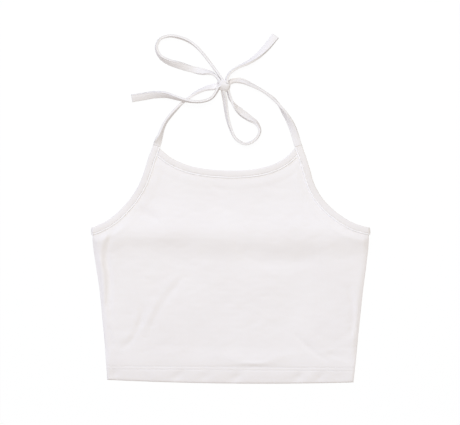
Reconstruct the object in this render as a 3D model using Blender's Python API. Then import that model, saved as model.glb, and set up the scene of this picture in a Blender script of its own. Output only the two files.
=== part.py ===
"""Halter-neck tank top in white cotton jersey, laid flat with its ties in a bow.

The garment lies face up on a surface at z = 0, with its hem towards -Y and its
ties towards +Y. The origin is on that surface, on the centre line, halfway up
the side seams. The back lies on the surface, the front lies on the back, and
above the back's top edge the front drops to the surface.
"""

import math

import bmesh
import bpy
import numpy as np
from mathutils.geometry import delaunay_2d_cdt

# Every size below is in millimetres, and MM turns it into metres.
MM = 0.001

# Cloth and seams
CLOTH = 1.0  # one layer of jersey
SEAM_GAP = 0.3  # between two pieces that meet
HEM_DEPTH = 16.5  # the turned-up hem, two layers thick
HEM_STEP = 1.0  # over which the hem's second layer ends
EDGE_ROUND = 0.9  # how far in from its edge a panel is rounded
EDGE_DROP = 0.6  # how much lower the rounded edge is

# Binding: a strip folded round the cut edge of a panel
BINDING_WIDTH = 9.8  # from the fold to the lip
BINDING_LAYER = CLOTH + SEAM_GAP
BINDING_THICK = 3 * CLOTH + 2 * SEAM_GAP
EDGE_INSET = 1.6  # from the fold's outside to the cut edge inside it
LIMB_INNER = CLOTH / 2 + SEAM_GAP  # from the panel's middle to the strip
LIMB_OUTER = LIMB_INNER + CLOTH
FOLD_STEPS = 3  # facets in each half of the fold
TURN_STEPS = 6  # facets where the strip goes round a side seam

# Ties: the same strip folded shut and sewn along its open edge
TIE_THICK = 3.4
TIE_NOTCH = 1.2  # depth of the groove between the two turned-in edges

# The front's shape, seen from above
HEM_LEFT, HEM_MIDDLE, HEM_RIGHT = -97.0, -101.8, -100.4
SIDE_TOP = 99.4  # where the side seams end, inside the binding
NECK_CENTRE, NECK_LOW, NECK_RISE = 3.0, 174.6, 26.4
NECK_REACH_LEFT, NECK_REACH_RIGHT = 92.0, 78.0
NECK_ROUND = 0.55  # share of the neckline that is a parabola
BACK_EDGE_SIDE, BACK_EDGE_MIDDLE = 101.0, 97.0
TURN_LEFT, TURN_RIGHT = 177.4, 177.8  # where the binding turns to the back

# How the front lies
LOFT = 1.1  # how far the front floats over what is under it
CREST = 1.4  # extra rise of the front over the back's bound edge

# Spacing of the facets
PANEL_STEP = 10.5
BACK_STEP = 24.0
BINDING_STEP = 9.0
TIE_STEP = 6.0


def table(columns, rows):
    """A short table, as a dictionary of its named columns."""
    return dict(zip(columns.split(), np.array(rows, float).T, strict=True))


# Half widths of the body at the side seams, by height
SIDE_SEAM = table(
    "height left right",
    [
        (-102.0, 159.8, 159.4),
        (-60.0, 162.7, 164.0),
        (-20.0, 166.3, 168.0),
        (20.0, 170.2, 172.3),
        (56.0, 175.6, 177.0),
        (78.0, 178.6, 179.2),
        (90.0, 178.9, 179.4),
        (102.0, 178.7, 179.1),
    ],
)

# Distance of the bound armhole edge from the centre line, by height
ARMHOLE = table(
    "height left right",
    [
        (101.2, 177.4, 177.8),
        (105.4, 168.6, 162.9),
        (109.4, 160.8, 154.4),
        (117.0, 150.5, 142.6),
        (128.7, 138.6, 128.4),
        (144.3, 126.2, 115.7),
        (160.0, 117.4, 107.9),
        (175.5, 111.6, 103.5),
        (191.0, 107.0, 98.6),
        (202.8, 102.4, 94.6),
        (213.0, 99.0, 91.4),
    ],
)

# The front's largest folds: each runs from its start through its middle to its
# end. A height above zero is a ridge, one below zero a trough.
FOLDS = table(
    "x0 y0 x1 y1 x2 y2 height width",
    [
        (-142, 104, -170, 56, -162, 2, -1.9, 6.0),
        (-61, 44, -90, 4, -112, -38, 1.7, 8.0),
        (-50, 30, -78, -8, -104, -44, -1.1, 8.0),
        (-114, 10, -122, -34, -144, -58, -1.3, 7.0),
        (154, 20, 161, -8, 154, -40, -1.3, 6.0),
        (84, -40, 108, -62, 150, -86, -1.2, 7.0),
        (92, -34, 118, -52, 156, -70, 1.3, 7.0),
        (8, 76, 70, 64, 132, 76, -1.5, 11.0),
        (-134, 78, -84, 74, -20, 84, -1.2, 9.0),
        (-130, 128, -114, 120, -98, 110, -1.0, 6.0),
    ],
)

# The ties, as rows along each stretch: its middle line, how far its lowest
# edge is above the surface, how far it leans (0 flat, 90 on edge) and its width
LEFT_TIE = table(
    "x y rise tilt width",
    [
        (-94.0, 212.0, 0.1, 0, 9.8),
        (-91.7, 218.2, 0.1, 32, 10.0),
        (-89.4, 225.6, 0.1, 62, 10.0),
        (-85.6, 235.2, 0.1, 78, 10.0),
        (-75.0, 249.4, 0.1, 80, 10.0),
        (-57.9, 266.4, 0.1, 74, 8.2),
        (-42.3, 276.9, 0.1, 80, 8.6),
        (-32.0, 281.2, 0.1, 66, 8.6),
        (-24.0, 283.2, 0.2, 26, 8.8),
        (-13.0, 285.0, 0.4, 0, 8.4),
    ],
)
RIGHT_TIE = table(
    "x y rise tilt width",
    [
        (86.6, 212.1, 0.1, 0, 9.8),
        (84.6, 219.0, 0.1, 32, 10.0),
        (79.0, 233.8, 0.1, 50, 10.0),
        (69.6, 250.0, 0.1, 60, 10.0),
        (58.5, 265.2, 0.1, 75, 10.0),
        (43.6, 276.9, 0.1, 84, 10.0),
        (28.0, 285.4, 0.1, 80, 10.0),
        (12.4, 291.8, 0.1, 68, 9.4),
        (4.0, 291.8, 0.3, 62, 8.8),
        (-5.6, 286.2, 1.0, 62, 8.0),
    ],
)
UPPER_LOOP = table(
    "x y rise tilt width",
    [
        (-8.0, 288.2, 3.4, 90, 9.6),
        (-12.5, 295.2, 2.6, 88, 9.8),
        (-24.7, 312.0, 0.8, 84, 10.0),
        (-36.4, 327.2, 0.2, 84, 10.0),
        (-50.0, 340.2, 0.1, 84, 10.0),
        (-65.7, 347.4, 0.1, 84, 10.0),
        (-81.3, 349.2, 0.1, 84, 10.0),
        (-91.2, 345.4, 0.1, 84, 10.0),
        (-96.1, 334.6, 0.1, 84, 10.0),
        (-91.6, 323.4, 0.1, 80, 10.0),
        (-81.3, 316.2, 0.1, 60, 10.0),
        (-65.7, 311.2, 0.1, 34, 10.2),
        (-50.0, 306.4, 0.1, 34, 10.2),
        (-36.0, 303.2, 0.4, 62, 10.0),
        (-26.0, 300.4, 1.0, 77, 9.8),
        (-18.2, 295.5, 2.8, 88, 9.6),
        (-14.1, 289.6, 4.4, 90, 9.6),
    ],
)
LOWER_LOOP = table(
    "x y rise tilt width",
    [
        (-9.5, 284.0, 2.6, 116, 9.0),
        (-9.4, 276.4, 2.0, 116, 9.0),
        (-7.5, 268.0, 1.0, 114, 9.4),
        (-6.0, 256.0, 0.2, 108, 10.0),
        (-3.4, 241.0, 0.1, 99, 10.0),
        (0.3, 229.0, 0.1, 92, 10.0),
        (6.6, 216.4, 0.1, 84, 10.0),
        (19.4, 209.4, 0.1, 84, 10.0),
        (32.0, 214.8, 0.1, 84, 10.0),
        (38.0, 226.6, 0.1, 84, 10.0),
        (34.4, 235.4, 0.1, 74, 10.0),
        (24.0, 242.8, 0.1, 48, 10.2),
        (14.0, 250.2, 0.1, 38, 10.2),
        (5.2, 259.4, 0.2, 58, 10.0),
        (-0.2, 268.2, 0.8, 80, 9.6),
        (-2.6, 276.6, 1.8, 88, 9.4),
        (-3.6, 284.0, 2.6, 88, 9.4),
    ],
)
RIGHT_TAIL = table(
    "x y rise tilt width",
    [
        (-4.8, 287.2, 5.6, 84, 9.0),
        (-4.7, 292.6, 5.0, 84, 9.0),
        (-1.6, 299.6, 3.6, 82, 9.4),
        (8.2, 307.8, 1.8, 79, 9.8),
        (20.2, 313.4, 0.6, 66, 10.0),
        (32.5, 321.2, 0.1, 50, 10.0),
        (45.4, 333.2, 0.1, 34, 10.2),
        (58.7, 349.8, 0.1, 14, 10.2),
    ],
)
LEFT_TAIL = table(
    "x y rise tilt width",
    [
        (-11.0, 284.6, 5.4, 70, 8.4),
        (-15.6, 281.6, 5.6, 80, 8.4),
        (-18.4, 276.6, 6.0, 84, 8.4),
        (-24.6, 268.6, 7.4, 84, 8.4),
        (-37.0, 264.0, 8.8, 83, 8.4),
        (-49.0, 263.8, 9.4, 79, 8.4),
        (-58.6, 265.4, 9.4, 72, 8.4),
        (-70.0, 268.6, 8.0, 66, 9.0),
        (-83.9, 272.6, 4.6, 54, 9.8),
        (-99.5, 272.9, 1.2, 34, 10.0),
        (-113.0, 270.9, 0.1, 22, 10.2),
        (-128.2, 268.4, 0.1, 12, 10.2),
    ],
)

# The knot: a band wound round the crossing ties
KNOT_MIDDLE = (-8.6, 284.6, 7.5)
KNOT_HALF = (8.6, 7.0, 7.3)  # across the bundle, along it and upwards
KNOT_TURN = -12.0  # of the bundle from the Y axis, in degrees
KNOT_BAND = 0.72  # share of the knot's length that the band covers
KNOT_STEP = 0.1  # how far the band stands proud, as a share of the radius
KNOT_SLANT = 0.16  # how far the band runs out of square

# Colours and finish
JERSEY = (0.87, 0.84, 0.845, 1.0)
BOUND_JERSEY = (0.88, 0.855, 0.865, 1.0)
JERSEY_ROUGHNESS = 0.92


def ramp(value, start, end):
    """Smooth step from 0 at start to 1 at end."""
    t = np.clip((value - start) / (end - start), 0, 1)
    return t * t * (3 - 2 * t)


def eased(at, knots, values):
    """A cubic through the rows (knots, values), its slope at a row taken from the rows beside it."""
    at = np.asarray(at, float)
    slopes = np.gradient(values, knots)
    i = np.clip(np.searchsorted(knots, at, side="right") - 1, 0, len(knots) - 2)
    step = knots[i + 1] - knots[i]
    t = np.clip((at - knots[i]) / step, 0, 1)
    return (
        (2 * t**3 - 3 * t**2 + 1) * values[i]
        + (t**3 - 2 * t**2 + t) * step * slopes[i]
        + (3 * t**2 - 2 * t**3) * values[i + 1]
        + (t**3 - t**2) * step * slopes[i + 1]
    )


def smooth_line(points, step):
    """Points about step apart along the smooth curve through the given ones. Columns after the first two, such as a lean, are carried along."""
    points = np.asarray(points, float)
    chords = np.linalg.norm(np.diff(points[:, :2], axis=0), axis=1)
    knots = np.concatenate([[0], np.cumsum(chords)])
    fine_at = np.linspace(0, knots[-1], int(knots[-1] * 5) + 2)
    fine = np.stack([eased(fine_at, knots, column) for column in points.T], axis=1)
    along = np.concatenate(
        [[0], np.cumsum(np.linalg.norm(np.diff(fine[:, :2], axis=0), axis=1))]
    )
    stations = np.linspace(0, along[-1], max(2, round(along[-1] / step) + 1))
    return np.stack([np.interp(stations, along, column) for column in fine.T], axis=1)


def left_normals(line):
    """Unit vectors square to a line in plan, to the left of its direction."""
    along = np.gradient(line[:, :2], axis=0)
    along /= np.linalg.norm(along, axis=1)[:, None]
    return np.stack([-along[:, 1], along[:, 0]], axis=1)


def distance_to(line, x, y):
    """How far each point (x, y) is from a line of points in plan."""
    x, y = np.broadcast_arrays(np.asarray(x, float), np.asarray(y, float))
    best = np.full(x.shape, np.inf)
    for (ax, ay), (bx, by) in zip(line[:-1], line[1:], strict=True):
        dx, dy = bx - ax, by - ay
        t = np.clip(((x - ax) * dx + (y - ay) * dy) / (dx * dx + dy * dy), 0, 1)
        best = np.minimum(best, np.hypot(x - ax - t * dx, y - ay - t * dy))
    return best


def hem_edge(x):
    """The hem's height: a parabola through its left, middle and right ends."""
    across = np.asarray(x, float) / SIDE_SEAM["left"][0]
    tilt = (HEM_RIGHT - HEM_LEFT) / 2
    sag = (HEM_RIGHT + HEM_LEFT) / 2 - HEM_MIDDLE
    return HEM_MIDDLE + tilt * across + sag * across**2


def back_edge(x):
    """Height of the back's bound top edge, a shallow parabola."""
    across = np.asarray(x, float) / TURN_LEFT
    return BACK_EDGE_MIDDLE + (BACK_EDGE_SIDE - BACK_EDGE_MIDDLE) * across**2


def neck_edge(x):
    """Height of the front's bound neckline: a parabola that steepens towards the ties, then runs on straight under them."""
    off = np.asarray(x, float) - NECK_CENTRE
    share = np.abs(off) / np.where(off < 0, NECK_REACH_LEFT, NECK_REACH_RIGHT)
    open_share = np.minimum(share, 1)
    curve = NECK_ROUND * open_share**2 + (1 - NECK_ROUND) * open_share**5
    slope = 2 * NECK_ROUND + 5 * (1 - NECK_ROUND)
    return NECK_LOW + NECK_RISE * (curve + slope * (share - open_share))


def side_x(height, side):
    """X of the side seam at a height. The side is -1 for left and 1 for right."""
    column = SIDE_SEAM["left" if side < 0 else "right"]
    return side * eased(height, SIDE_SEAM["height"], column)


def armhole_line(side, step):
    """The armhole's bound edge in plan, from the underarm up to the tie."""
    out = side * ARMHOLE["left" if side < 0 else "right"]
    return smooth_line(np.stack([out, ARMHOLE["height"]], axis=1), step)


def neck_line(step):
    """The neckline's bound edge in plan, from left to right, carried on under the ties."""
    x = np.linspace(-99.0, 93.0, 97)
    return smooth_line(np.stack([x, neck_edge(x)], axis=1), step)


def inward(line, depth, side):
    """A line moved in from a bound edge. The side is 1 where the cloth is to the left of the line."""
    return line[:, :2] + side * depth * left_normals(line)


def fold_relief(x, y):
    """The sum of the folds: each is a bell-shaped ridge or trough on a curved line, faded out at its ends."""
    relief = np.zeros(np.broadcast(x, y).shape)
    t = np.linspace(0, 1, 13)
    for row in zip(*FOLDS.values(), strict=True):
        x0, y0, x1, y1, x2, y2, height, width = row
        bend_x, bend_y = 2 * x1 - (x0 + x2) / 2, 2 * y1 - (y0 + y2) / 2
        line = np.stack(
            [
                (1 - t) ** 2 * x0 + 2 * t * (1 - t) * bend_x + t**2 * x2,
                (1 - t) ** 2 * y0 + 2 * t * (1 - t) * bend_y + t**2 * y2,
            ],
            axis=1,
        )
        length = math.hypot(x2 - x0, y2 - y0)
        off_middle = np.hypot(x - x1, y - y1) / (0.6 * length)
        fade = 1 - ramp(off_middle, 0.55, 1.0)
        relief += height * fade * np.exp(-((distance_to(line, x, y) / width) ** 2))
    return relief


class Front:
    """The front panel's surfaces as heights over the surface that the garment lies on."""

    def __init__(self):
        self.bound = [armhole_line(side, 6.0) for side in (-1, 1)] + [neck_line(6.0)]

    def support(self, x, y):
        """Top of what lies under the front or under its binding, with the seam gap."""
        over_back = CLOTH + SEAM_GAP
        over_binding = BINDING_THICK + SEAM_GAP
        above_edge = y - back_edge(x)
        climb = ramp(above_edge, -BINDING_WIDTH - 16, -BINDING_WIDTH - 1)
        drop = 1 - ramp(above_edge, 0.5, 38.0)
        hem = 1 - ramp(y - hem_edge(x), HEM_DEPTH + 1.5, HEM_DEPTH + 15)
        body = over_back + (over_binding - over_back) * climb
        return body * drop + 2 * CLOTH * hem

    def outer(self, x, y):
        """Height of the front's outer face."""
        from_binding = np.min([distance_to(line, x, y) for line in self.bound], axis=0)
        limb = BINDING_LAYER * (
            1 - ramp(from_binding, BINDING_WIDTH + 2, BINDING_WIDTH + 16)
        )
        from_side = np.minimum(x - side_x(y, -1), side_x(y, 1) - x)
        free = (
            ramp(from_side, 1.5, 11.0)
            * ramp(y - hem_edge(x), HEM_DEPTH + 3, HEM_DEPTH + 18)
            * ramp(from_binding, BINDING_WIDTH + 2, BINDING_WIDTH + 14)
        )
        above_edge = y - back_edge(x)
        crest = CREST * np.exp(-(((above_edge + 4) / 16) ** 2))
        float_up = np.maximum(0, LOFT + crest + fold_relief(x, y)) * free
        return self.support(x, y) + limb + CLOTH + float_up

    def inner(self, x, y):
        """Height of the front's inner face, one layer down and two in the hem."""
        hem = y - hem_edge(x) < HEM_DEPTH + HEM_STEP / 2
        return self.outer(x, y) - CLOTH - CLOTH * hem


def back_inner(x, y):
    """Height of the back's upper face, which is its inner one."""
    hem = y - hem_edge(x) < HEM_DEPTH + HEM_STEP / 2
    return back_outer(x, y) + CLOTH + CLOTH * hem


def back_outer(x, y):
    """Height of the back's underside: flat, but lifted by the binding's lower layer at its top edge."""
    above_edge = y - back_edge(x)
    return BINDING_LAYER * ramp(above_edge, -BINDING_WIDTH - 14, -BINDING_WIDTH - 1)


def evenly(start, end, step):
    """Values about step apart, both ends included."""
    return np.linspace(start, end, max(2, round(abs(end - start) / step) + 1))


def corner_of(first, second):
    """Where two lines in plan come closest, as an index into each."""
    apart = np.linalg.norm(first[:, None, :2] - second[None, :, :2], axis=2)
    return np.unravel_index(np.argmin(apart), apart.shape)


def hem_line(depth, step, margin):
    """Points across the body at a height above the hem, kept a margin in from the sides."""
    left, right = side_x(HEM_LEFT, -1) + margin, side_x(HEM_RIGHT, 1) - margin
    x = evenly(left, right, step)
    height = hem_edge(x) + depth
    x = np.clip(x, side_x(height, -1) + margin, side_x(height, 1) - margin)
    return np.stack([x, height], axis=1)


def back_edge_line(lift, step):
    """Points across the body at a height above the back's bound edge, kept inside the side seams."""
    margin = EDGE_ROUND + 1
    x = evenly(margin - TURN_LEFT, TURN_RIGHT - margin, step)
    height = back_edge(x) + lift
    x = np.clip(x, side_x(height, -1) + margin, side_x(height, 1) - margin)
    return np.stack([x, height], axis=1)


def lip_lines():
    """The lines on the front that its bindings' lips lie on, clear of each other's ends."""
    depth = BINDING_WIDTH + 1.5
    edges = [armhole_line(side, PANEL_STEP / 2) for side in (-1, 1)]
    neck = inward(neck_line(PANEL_STEP / 2), depth, -1)
    arms = [inward(e, depth, side) for e, side in zip(edges, (-1, 1), strict=True)]
    from_arms = np.min([distance_to(edge, *neck.T) for edge in edges], axis=0)
    return [neck[from_arms > depth], arms[0][3:-2], arms[1][3:-2]]


def side_line(side, step):
    """The side seam from the hem up."""
    start = hem_edge(side_x(HEM_MIDDLE, side))
    height = evenly(float(start), SIDE_TOP, step)
    return np.stack([side_x(height, side), height], axis=1)


def front_outline(step):
    """The front's cut edge in plan, anticlockwise from the hem's left corner."""
    necks = inward(neck_line(0.5), EDGE_INSET, -1)
    edge = []
    left_side, right_side = side_line(-1, step), side_line(1, step)
    edge += [hem_line(0.0, step, 0.0)[1:-1], right_side]
    right_arm = inward(armhole_line(1, 0.5), EDGE_INSET, 1)
    left_arm = inward(armhole_line(-1, 0.5), EDGE_INSET, -1)
    right_tip, neck_right = corner_of(right_arm, necks)
    left_tip, neck_left = corner_of(left_arm, necks)
    thin = int(step / 0.5)
    right_edge = smooth_line(right_arm[: right_tip + 1 : thin // 2], BINDING_STEP)
    left_edge = smooth_line(left_arm[: left_tip + 1 : thin // 2], BINDING_STEP)
    neck = smooth_line(necks[neck_left : neck_right + 1 : thin // 2], BINDING_STEP)
    edge += [right_edge, neck[::-1][1:-1], left_edge[::-1], left_side[::-1]]
    return np.concatenate(edge)


def back_outline(step):
    """The back's cut edge in plan, anticlockwise from the hem's left corner."""
    left_side, right_side = side_line(-1, step), side_line(1, step)
    x = evenly(right_side[-1, 0], left_side[-1, 0], step)[1:-1]
    top = np.stack([x, back_edge(x) - EDGE_INSET], axis=1)
    return np.concatenate(
        [hem_line(0.0, step, 0.0)[1:-1], right_side, top, left_side[::-1]]
    )


def rounded_line(outline, depth):
    """The outline moved in, which closes the rounded edge."""
    closed = np.concatenate([outline[-1:], outline, outline[:1]])
    return inward(closed, depth, 1)[1:-1]


def inside(outline, x, y):
    """Whether points are inside a closed outline, by counting crossings."""
    found = np.zeros(x.shape, bool)
    for (ax, ay), (bx, by) in zip(outline, np.roll(outline, -1, axis=0), strict=True):
        spans = (ay > y) != (by > y)
        if ay != by:
            found ^= spans & (x < ax + (y - ay) * (bx - ax) / (by - ay))
    return found


def lattice(outline, lines, step):
    """Points on staggered rows inside an outline, clear of it and of the given lines."""
    low, high = outline.min(axis=0), outline.max(axis=0)
    rows = evenly(low[1], high[1], step * 0.87)
    columns = evenly(low[0], high[0], step)
    x, y = np.meshgrid(columns, rows)
    x = x + step / 2 * (np.arange(len(rows)) % 2)[:, None]
    keep = inside(outline, x, y)
    loop = np.concatenate([outline, outline[:1]])
    for line in [loop, *lines]:
        keep &= distance_to(line, x, y) > 0.55 * step
    return np.stack([x[keep], y[keep]], axis=1)


def link(mesh_object):
    bpy.context.scene.collection.objects.link(mesh_object)
    return mesh_object


def cloth_material(name, colour):
    """Matt jersey for one piece."""
    material = bpy.data.materials.new(name + "_jersey")
    material.use_nodes = True
    shader = material.node_tree.nodes["Principled BSDF"]
    shader.inputs["Base Color"].default_value = colour
    shader.inputs["Roughness"].default_value = JERSEY_ROUGHNESS
    shader.inputs["Metallic"].default_value = 0.0
    return material


def finish_object(name, mesh, colour):
    """A smooth-shaded object for a mesh, with a material of its own."""
    mesh.shade_smooth()
    mesh.set_sharp_from_angle(angle=math.radians(50))
    made = link(bpy.data.objects.new(name, mesh))
    mesh.materials.append(cloth_material(name, colour))
    return made


def panel(name, outline, lines, step, upper, lower, rounded_up):
    """A wall of cloth between two height functions, on a triangulated outline. The outer edge is rounded on its upper or its lower side."""
    ring = rounded_line(outline, EDGE_ROUND)
    loose = lattice(outline, [*lines, np.concatenate([ring, ring[:1]])], step)
    groups = [outline, ring, *lines, loose]
    points = np.concatenate(groups)
    starts = np.cumsum([0] + [len(group) for group in groups])
    edges = []
    for k, line in enumerate(lines, start=2):
        first = int(starts[k])
        edges += [(first + i, first + i + 1) for i in range(len(line) - 1)]
    loop = list(range(len(outline)))
    flat, _, faces, origins, _, _ = delaunay_2d_cdt(
        [tuple(p) for p in points], edges, [loop], 1, 1e-5
    )
    x, y = np.array(flat).T
    on_edge = np.array([any(i < len(outline) for i in found) for found in origins])
    high, low = upper(x, y), lower(x, y)
    high, low = (
        (high - EDGE_DROP * on_edge, low)
        if rounded_up
        else (high, low + EDGE_DROP * on_edge)
    )
    bm = bmesh.new()
    tops = [bm.verts.new((a * MM, b * MM, c * MM)) for a, b, c in zip(x, y, high)]
    bottoms = [bm.verts.new((a * MM, b * MM, c * MM)) for a, b, c in zip(x, y, low)]
    for face in faces:
        bm.faces.new([tops[i] for i in face])
        bm.faces.new([bottoms[i] for i in reversed(face)])
    uses = {}
    for face in faces:
        for a, b in zip(face, face[1:] + face[:1]):
            uses[(a, b)] = True
    for a, b in uses:
        if (b, a) not in uses:
            bm.faces.new([tops[b], tops[a], bottoms[a], bottoms[b]])
    mesh = bpy.data.meshes.new(name)
    bm.to_mesh(mesh)
    bm.free()
    return finish_object(name, mesh, JERSEY)


def swept(name, rings, colour):
    """A closed solid through rings of points, one ring for each station, with flat ends."""
    count = len(rings[0])
    bm = bmesh.new()
    rows = [[bm.verts.new(np.asarray(point) * MM) for point in ring] for ring in rings]
    for near, far in zip(rows[:-1], rows[1:], strict=True):
        for i in range(count):
            j = (i + 1) % count
            bm.faces.new([near[i], near[j], far[j], far[i]])
    bm.faces.new(rows[0][::-1])
    bm.faces.new(rows[-1])
    bm.normal_update()
    bmesh.ops.triangulate(bm, faces=bm.faces[:])
    bmesh.ops.recalc_face_normals(bm, faces=bm.faces)
    mesh = bpy.data.meshes.new(name)
    bm.to_mesh(mesh)
    bm.free()
    return finish_object(name, mesh, colour)


def binding_section():
    """The folded strip's section: depth in from the cut edge, and height off the panel's middle. It goes out along the outer layer, round the fold and back, then returns inside."""
    lip = BINDING_WIDTH - EDGE_INSET
    fold_middle = LIMB_OUTER - EDGE_INSET
    turn = np.linspace(math.pi / 2, 3 * math.pi / 2, 2 * FOLD_STEPS + 1)
    outside = [(fold_middle + LIMB_OUTER * math.cos(a), LIMB_OUTER * math.sin(a)) for a in turn]
    inner = [(fold_middle + LIMB_INNER * math.cos(a), LIMB_INNER * math.sin(a)) for a in turn]
    return [
        (lip, LIMB_OUTER),
        (lip / 2, LIMB_OUTER),
        *outside,
        (lip / 2, -LIMB_OUTER),
        (lip, -LIMB_OUTER),
        (lip, -LIMB_INNER),
        (lip / 2, -LIMB_INNER),
        *inner[::-1],
        (lip / 2, LIMB_INNER),
        (lip, LIMB_INNER),
    ]


def binding_ring(edge, into, middle):
    """One station of a flat-lying binding. The point edge is on the cut edge, into points into the panel, and middle gives the height of the panel's middle."""
    ring = []
    for depth, off in binding_section():
        x, y = edge + into * depth
        base_x, base_y = edge + into * max(depth, 0.0)
        ring.append((x, y, float(middle(base_x, base_y)) + off))
    return ring


def neck_binding(front):
    """The neckline's binding, which ends where it meets the lips of the armhole bindings."""
    cut = inward(neck_line(0.5), EDGE_INSET, -1)
    into = -left_normals(cut)
    arms = [armhole_line(side, 2.0) for side in (-1, 1)]
    section = binding_section()
    clear = BINDING_WIDTH + SEAM_GAP
    ends = []
    for depth, _ in section:
        line = cut + into * depth
        free = np.min([distance_to(arm, *line.T) for arm in arms], axis=0) > clear
        near_middle = np.abs(line[:, 0] - NECK_CENTRE) < NECK_REACH_RIGHT / 2
        within = np.flatnonzero(free | near_middle)
        ends.append((within[0], within[-1]))
    ends = np.array(ends, float)
    count = round((ends[:, 1] - ends[:, 0]).mean() * 0.5 / BINDING_STEP)
    rings = []
    for share in np.linspace(0, 1, count + 1):
        ring = []
        for (depth, off), (first, last) in zip(section, ends, strict=True):
            at = first + share * (last - first)
            index = np.arange(len(cut))
            edge = np.array([np.interp(at, index, column) for column in cut.T])
            way = np.array([np.interp(at, index, column) for column in into.T])
            x, y = edge + way * depth
            base = edge + way * max(depth, 0.0)
            middle = float(front.outer(*base)) - CLOTH / 2
            ring.append((x, y, middle + off))
        rings.append(ring)
    return swept("neck_binding", rings, BOUND_JERSEY)


def side_turn(side, reach, height, front_middle):
    """Stations where the strip goes round a side seam, from the front layer down to the back one."""
    back_middle = BINDING_THICK / 2
    middle_z, radius = (
        (front_middle + back_middle) / 2,
        (front_middle - back_middle) / 2,
    )
    rings = []
    for angle in np.linspace(0, math.pi, TURN_STEPS + 1)[1:-1]:
        ring = []
        for depth, off in binding_section():
            out = (radius + off) * math.sin(angle)
            up = (radius + off) * math.cos(angle)
            ring.append((side * (reach + out), height - depth, middle_z + up))
        rings.append(ring)
    return rings


def back_ring(x):
    """One station of the back's binding. The strip's outer layer is on the surface."""
    edge = np.array([x, float(back_edge(x)) - EDGE_INSET])
    ring = []
    for depth, off in binding_section():
        ring.append((edge[0], edge[1] - depth, BINDING_THICK / 2 - off))
    return ring


def armhole_binding(front):
    """One strip that binds the left armhole, the back's top edge and the right armhole."""

    def middle(x, y):
        return front.outer(x, y) - CLOTH / 2

    def arm_rings(side):
        """Stations from the tie down to the underarm."""
        line = armhole_line(side, BINDING_STEP)[::-1]
        into = side * -left_normals(line)
        into[-1] = (0.0, -1.0)
        edge = line + into * EDGE_INSET
        return [binding_ring(e, i, middle) for e, i in zip(edge, into, strict=True)]

    height = BACK_EDGE_SIDE - EDGE_INSET
    left_middle = float(middle(-TURN_LEFT, ARMHOLE["height"][0] - EDGE_INSET))
    right_middle = float(middle(TURN_RIGHT, ARMHOLE["height"][0] - EDGE_INSET))
    across = evenly(-TURN_LEFT, TURN_RIGHT, BINDING_STEP * 2)
    rings = arm_rings(-1)
    rings += side_turn(-1, TURN_LEFT, height, left_middle)
    rings += [back_ring(x) for x in across]
    rings += side_turn(1, TURN_RIGHT, height, right_middle)[::-1]
    rings += arm_rings(1)[::-1]
    return swept("armhole_binding", rings, BOUND_JERSEY)


def tie_section(width):
    """Section of a tie lying flat: a rounded fold at one side, and at the other the groove between the turned-in edges."""
    half, thick = width / 2, TIE_THICK / 2
    upper = [
        (0.5 - half, 0.70 * thick),
        (1.5 - half, thick),
        (half - 1.6, thick),
        (half - 0.3, 0.80 * thick),
        (half, 0.42 * thick),
    ]
    lower = [(a, -b) for a, b in upper[::-1]]
    return [(-half, 0.0), *upper, (half - TIE_NOTCH, 0.0), *lower]


def tie_stretch(name, rows, lean):
    """A stretch of tie along its rows. It leans by its tilt about its middle line, with its fold upwards where lean is 1 and down where it is -1."""
    line = smooth_line(np.stack(list(rows.values()), axis=1), TIE_STEP)
    side = left_normals(line)
    rings = []
    for (x, y, rise, tilt, width), (nx, ny) in zip(line, side, strict=True):
        angle = math.radians(tilt) * lean
        cos, sin = math.cos(angle), math.sin(angle)
        section = [(a * cos - b * sin, a * sin + b * cos) for a, b in tie_section(width)]
        lowest = min(up for _, up in section)
        rings.append([(x + out * nx, y + out * ny, rise + up - lowest) for out, up in section])
    return swept(name, rings, BOUND_JERSEY)


def knot(name, grow):
    """The knot as rings round the bundle's axis: a raised slanting band between two domed ends. The size grow is added all round."""
    across, along, up = (half + grow for half in KNOT_HALF)
    turn = math.radians(KNOT_TURN)
    ends = [-0.97, -0.86, -0.76, -0.66, -0.33, 0.0, 0.33, 0.66, 0.76, 0.86, 0.97]
    rings = []
    for share in ends:
        dome = (1 - abs(share) ** 3.2) ** (1 / 3.2)
        ring = []
        for angle in np.linspace(0, 2 * math.pi, 17)[:-1]:
            slanted = abs(share + KNOT_SLANT * math.cos(angle) * (1 - share**2))
            band = 1 - KNOT_STEP * float(ramp(slanted, KNOT_BAND - 0.1, KNOT_BAND + 0.05))
            out, high = (
                across * dome * band * math.cos(angle),
                up * dome * band * math.sin(angle),
            )
            length = along * share
            ring.append(
                (
                    KNOT_MIDDLE[0] + out * math.cos(turn) - length * math.sin(turn),
                    KNOT_MIDDLE[1] + out * math.sin(turn) + length * math.cos(turn),
                    KNOT_MIDDLE[2] + high,
                )
            )
        rings.append(ring)
    return swept(name, rings, BOUND_JERSEY)


def seat_on(piece, cutter):
    """Trims a tie's end to the knot's round side, a seam gap away from it."""
    cut = piece.modifiers.new("seat_on_knot", "BOOLEAN")
    cut.operation = "DIFFERENCE"
    cut.solver = "EXACT"
    cut.object = cutter


def clear_scene():
    for old in list(bpy.data.objects):
        bpy.data.objects.remove(old)


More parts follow.
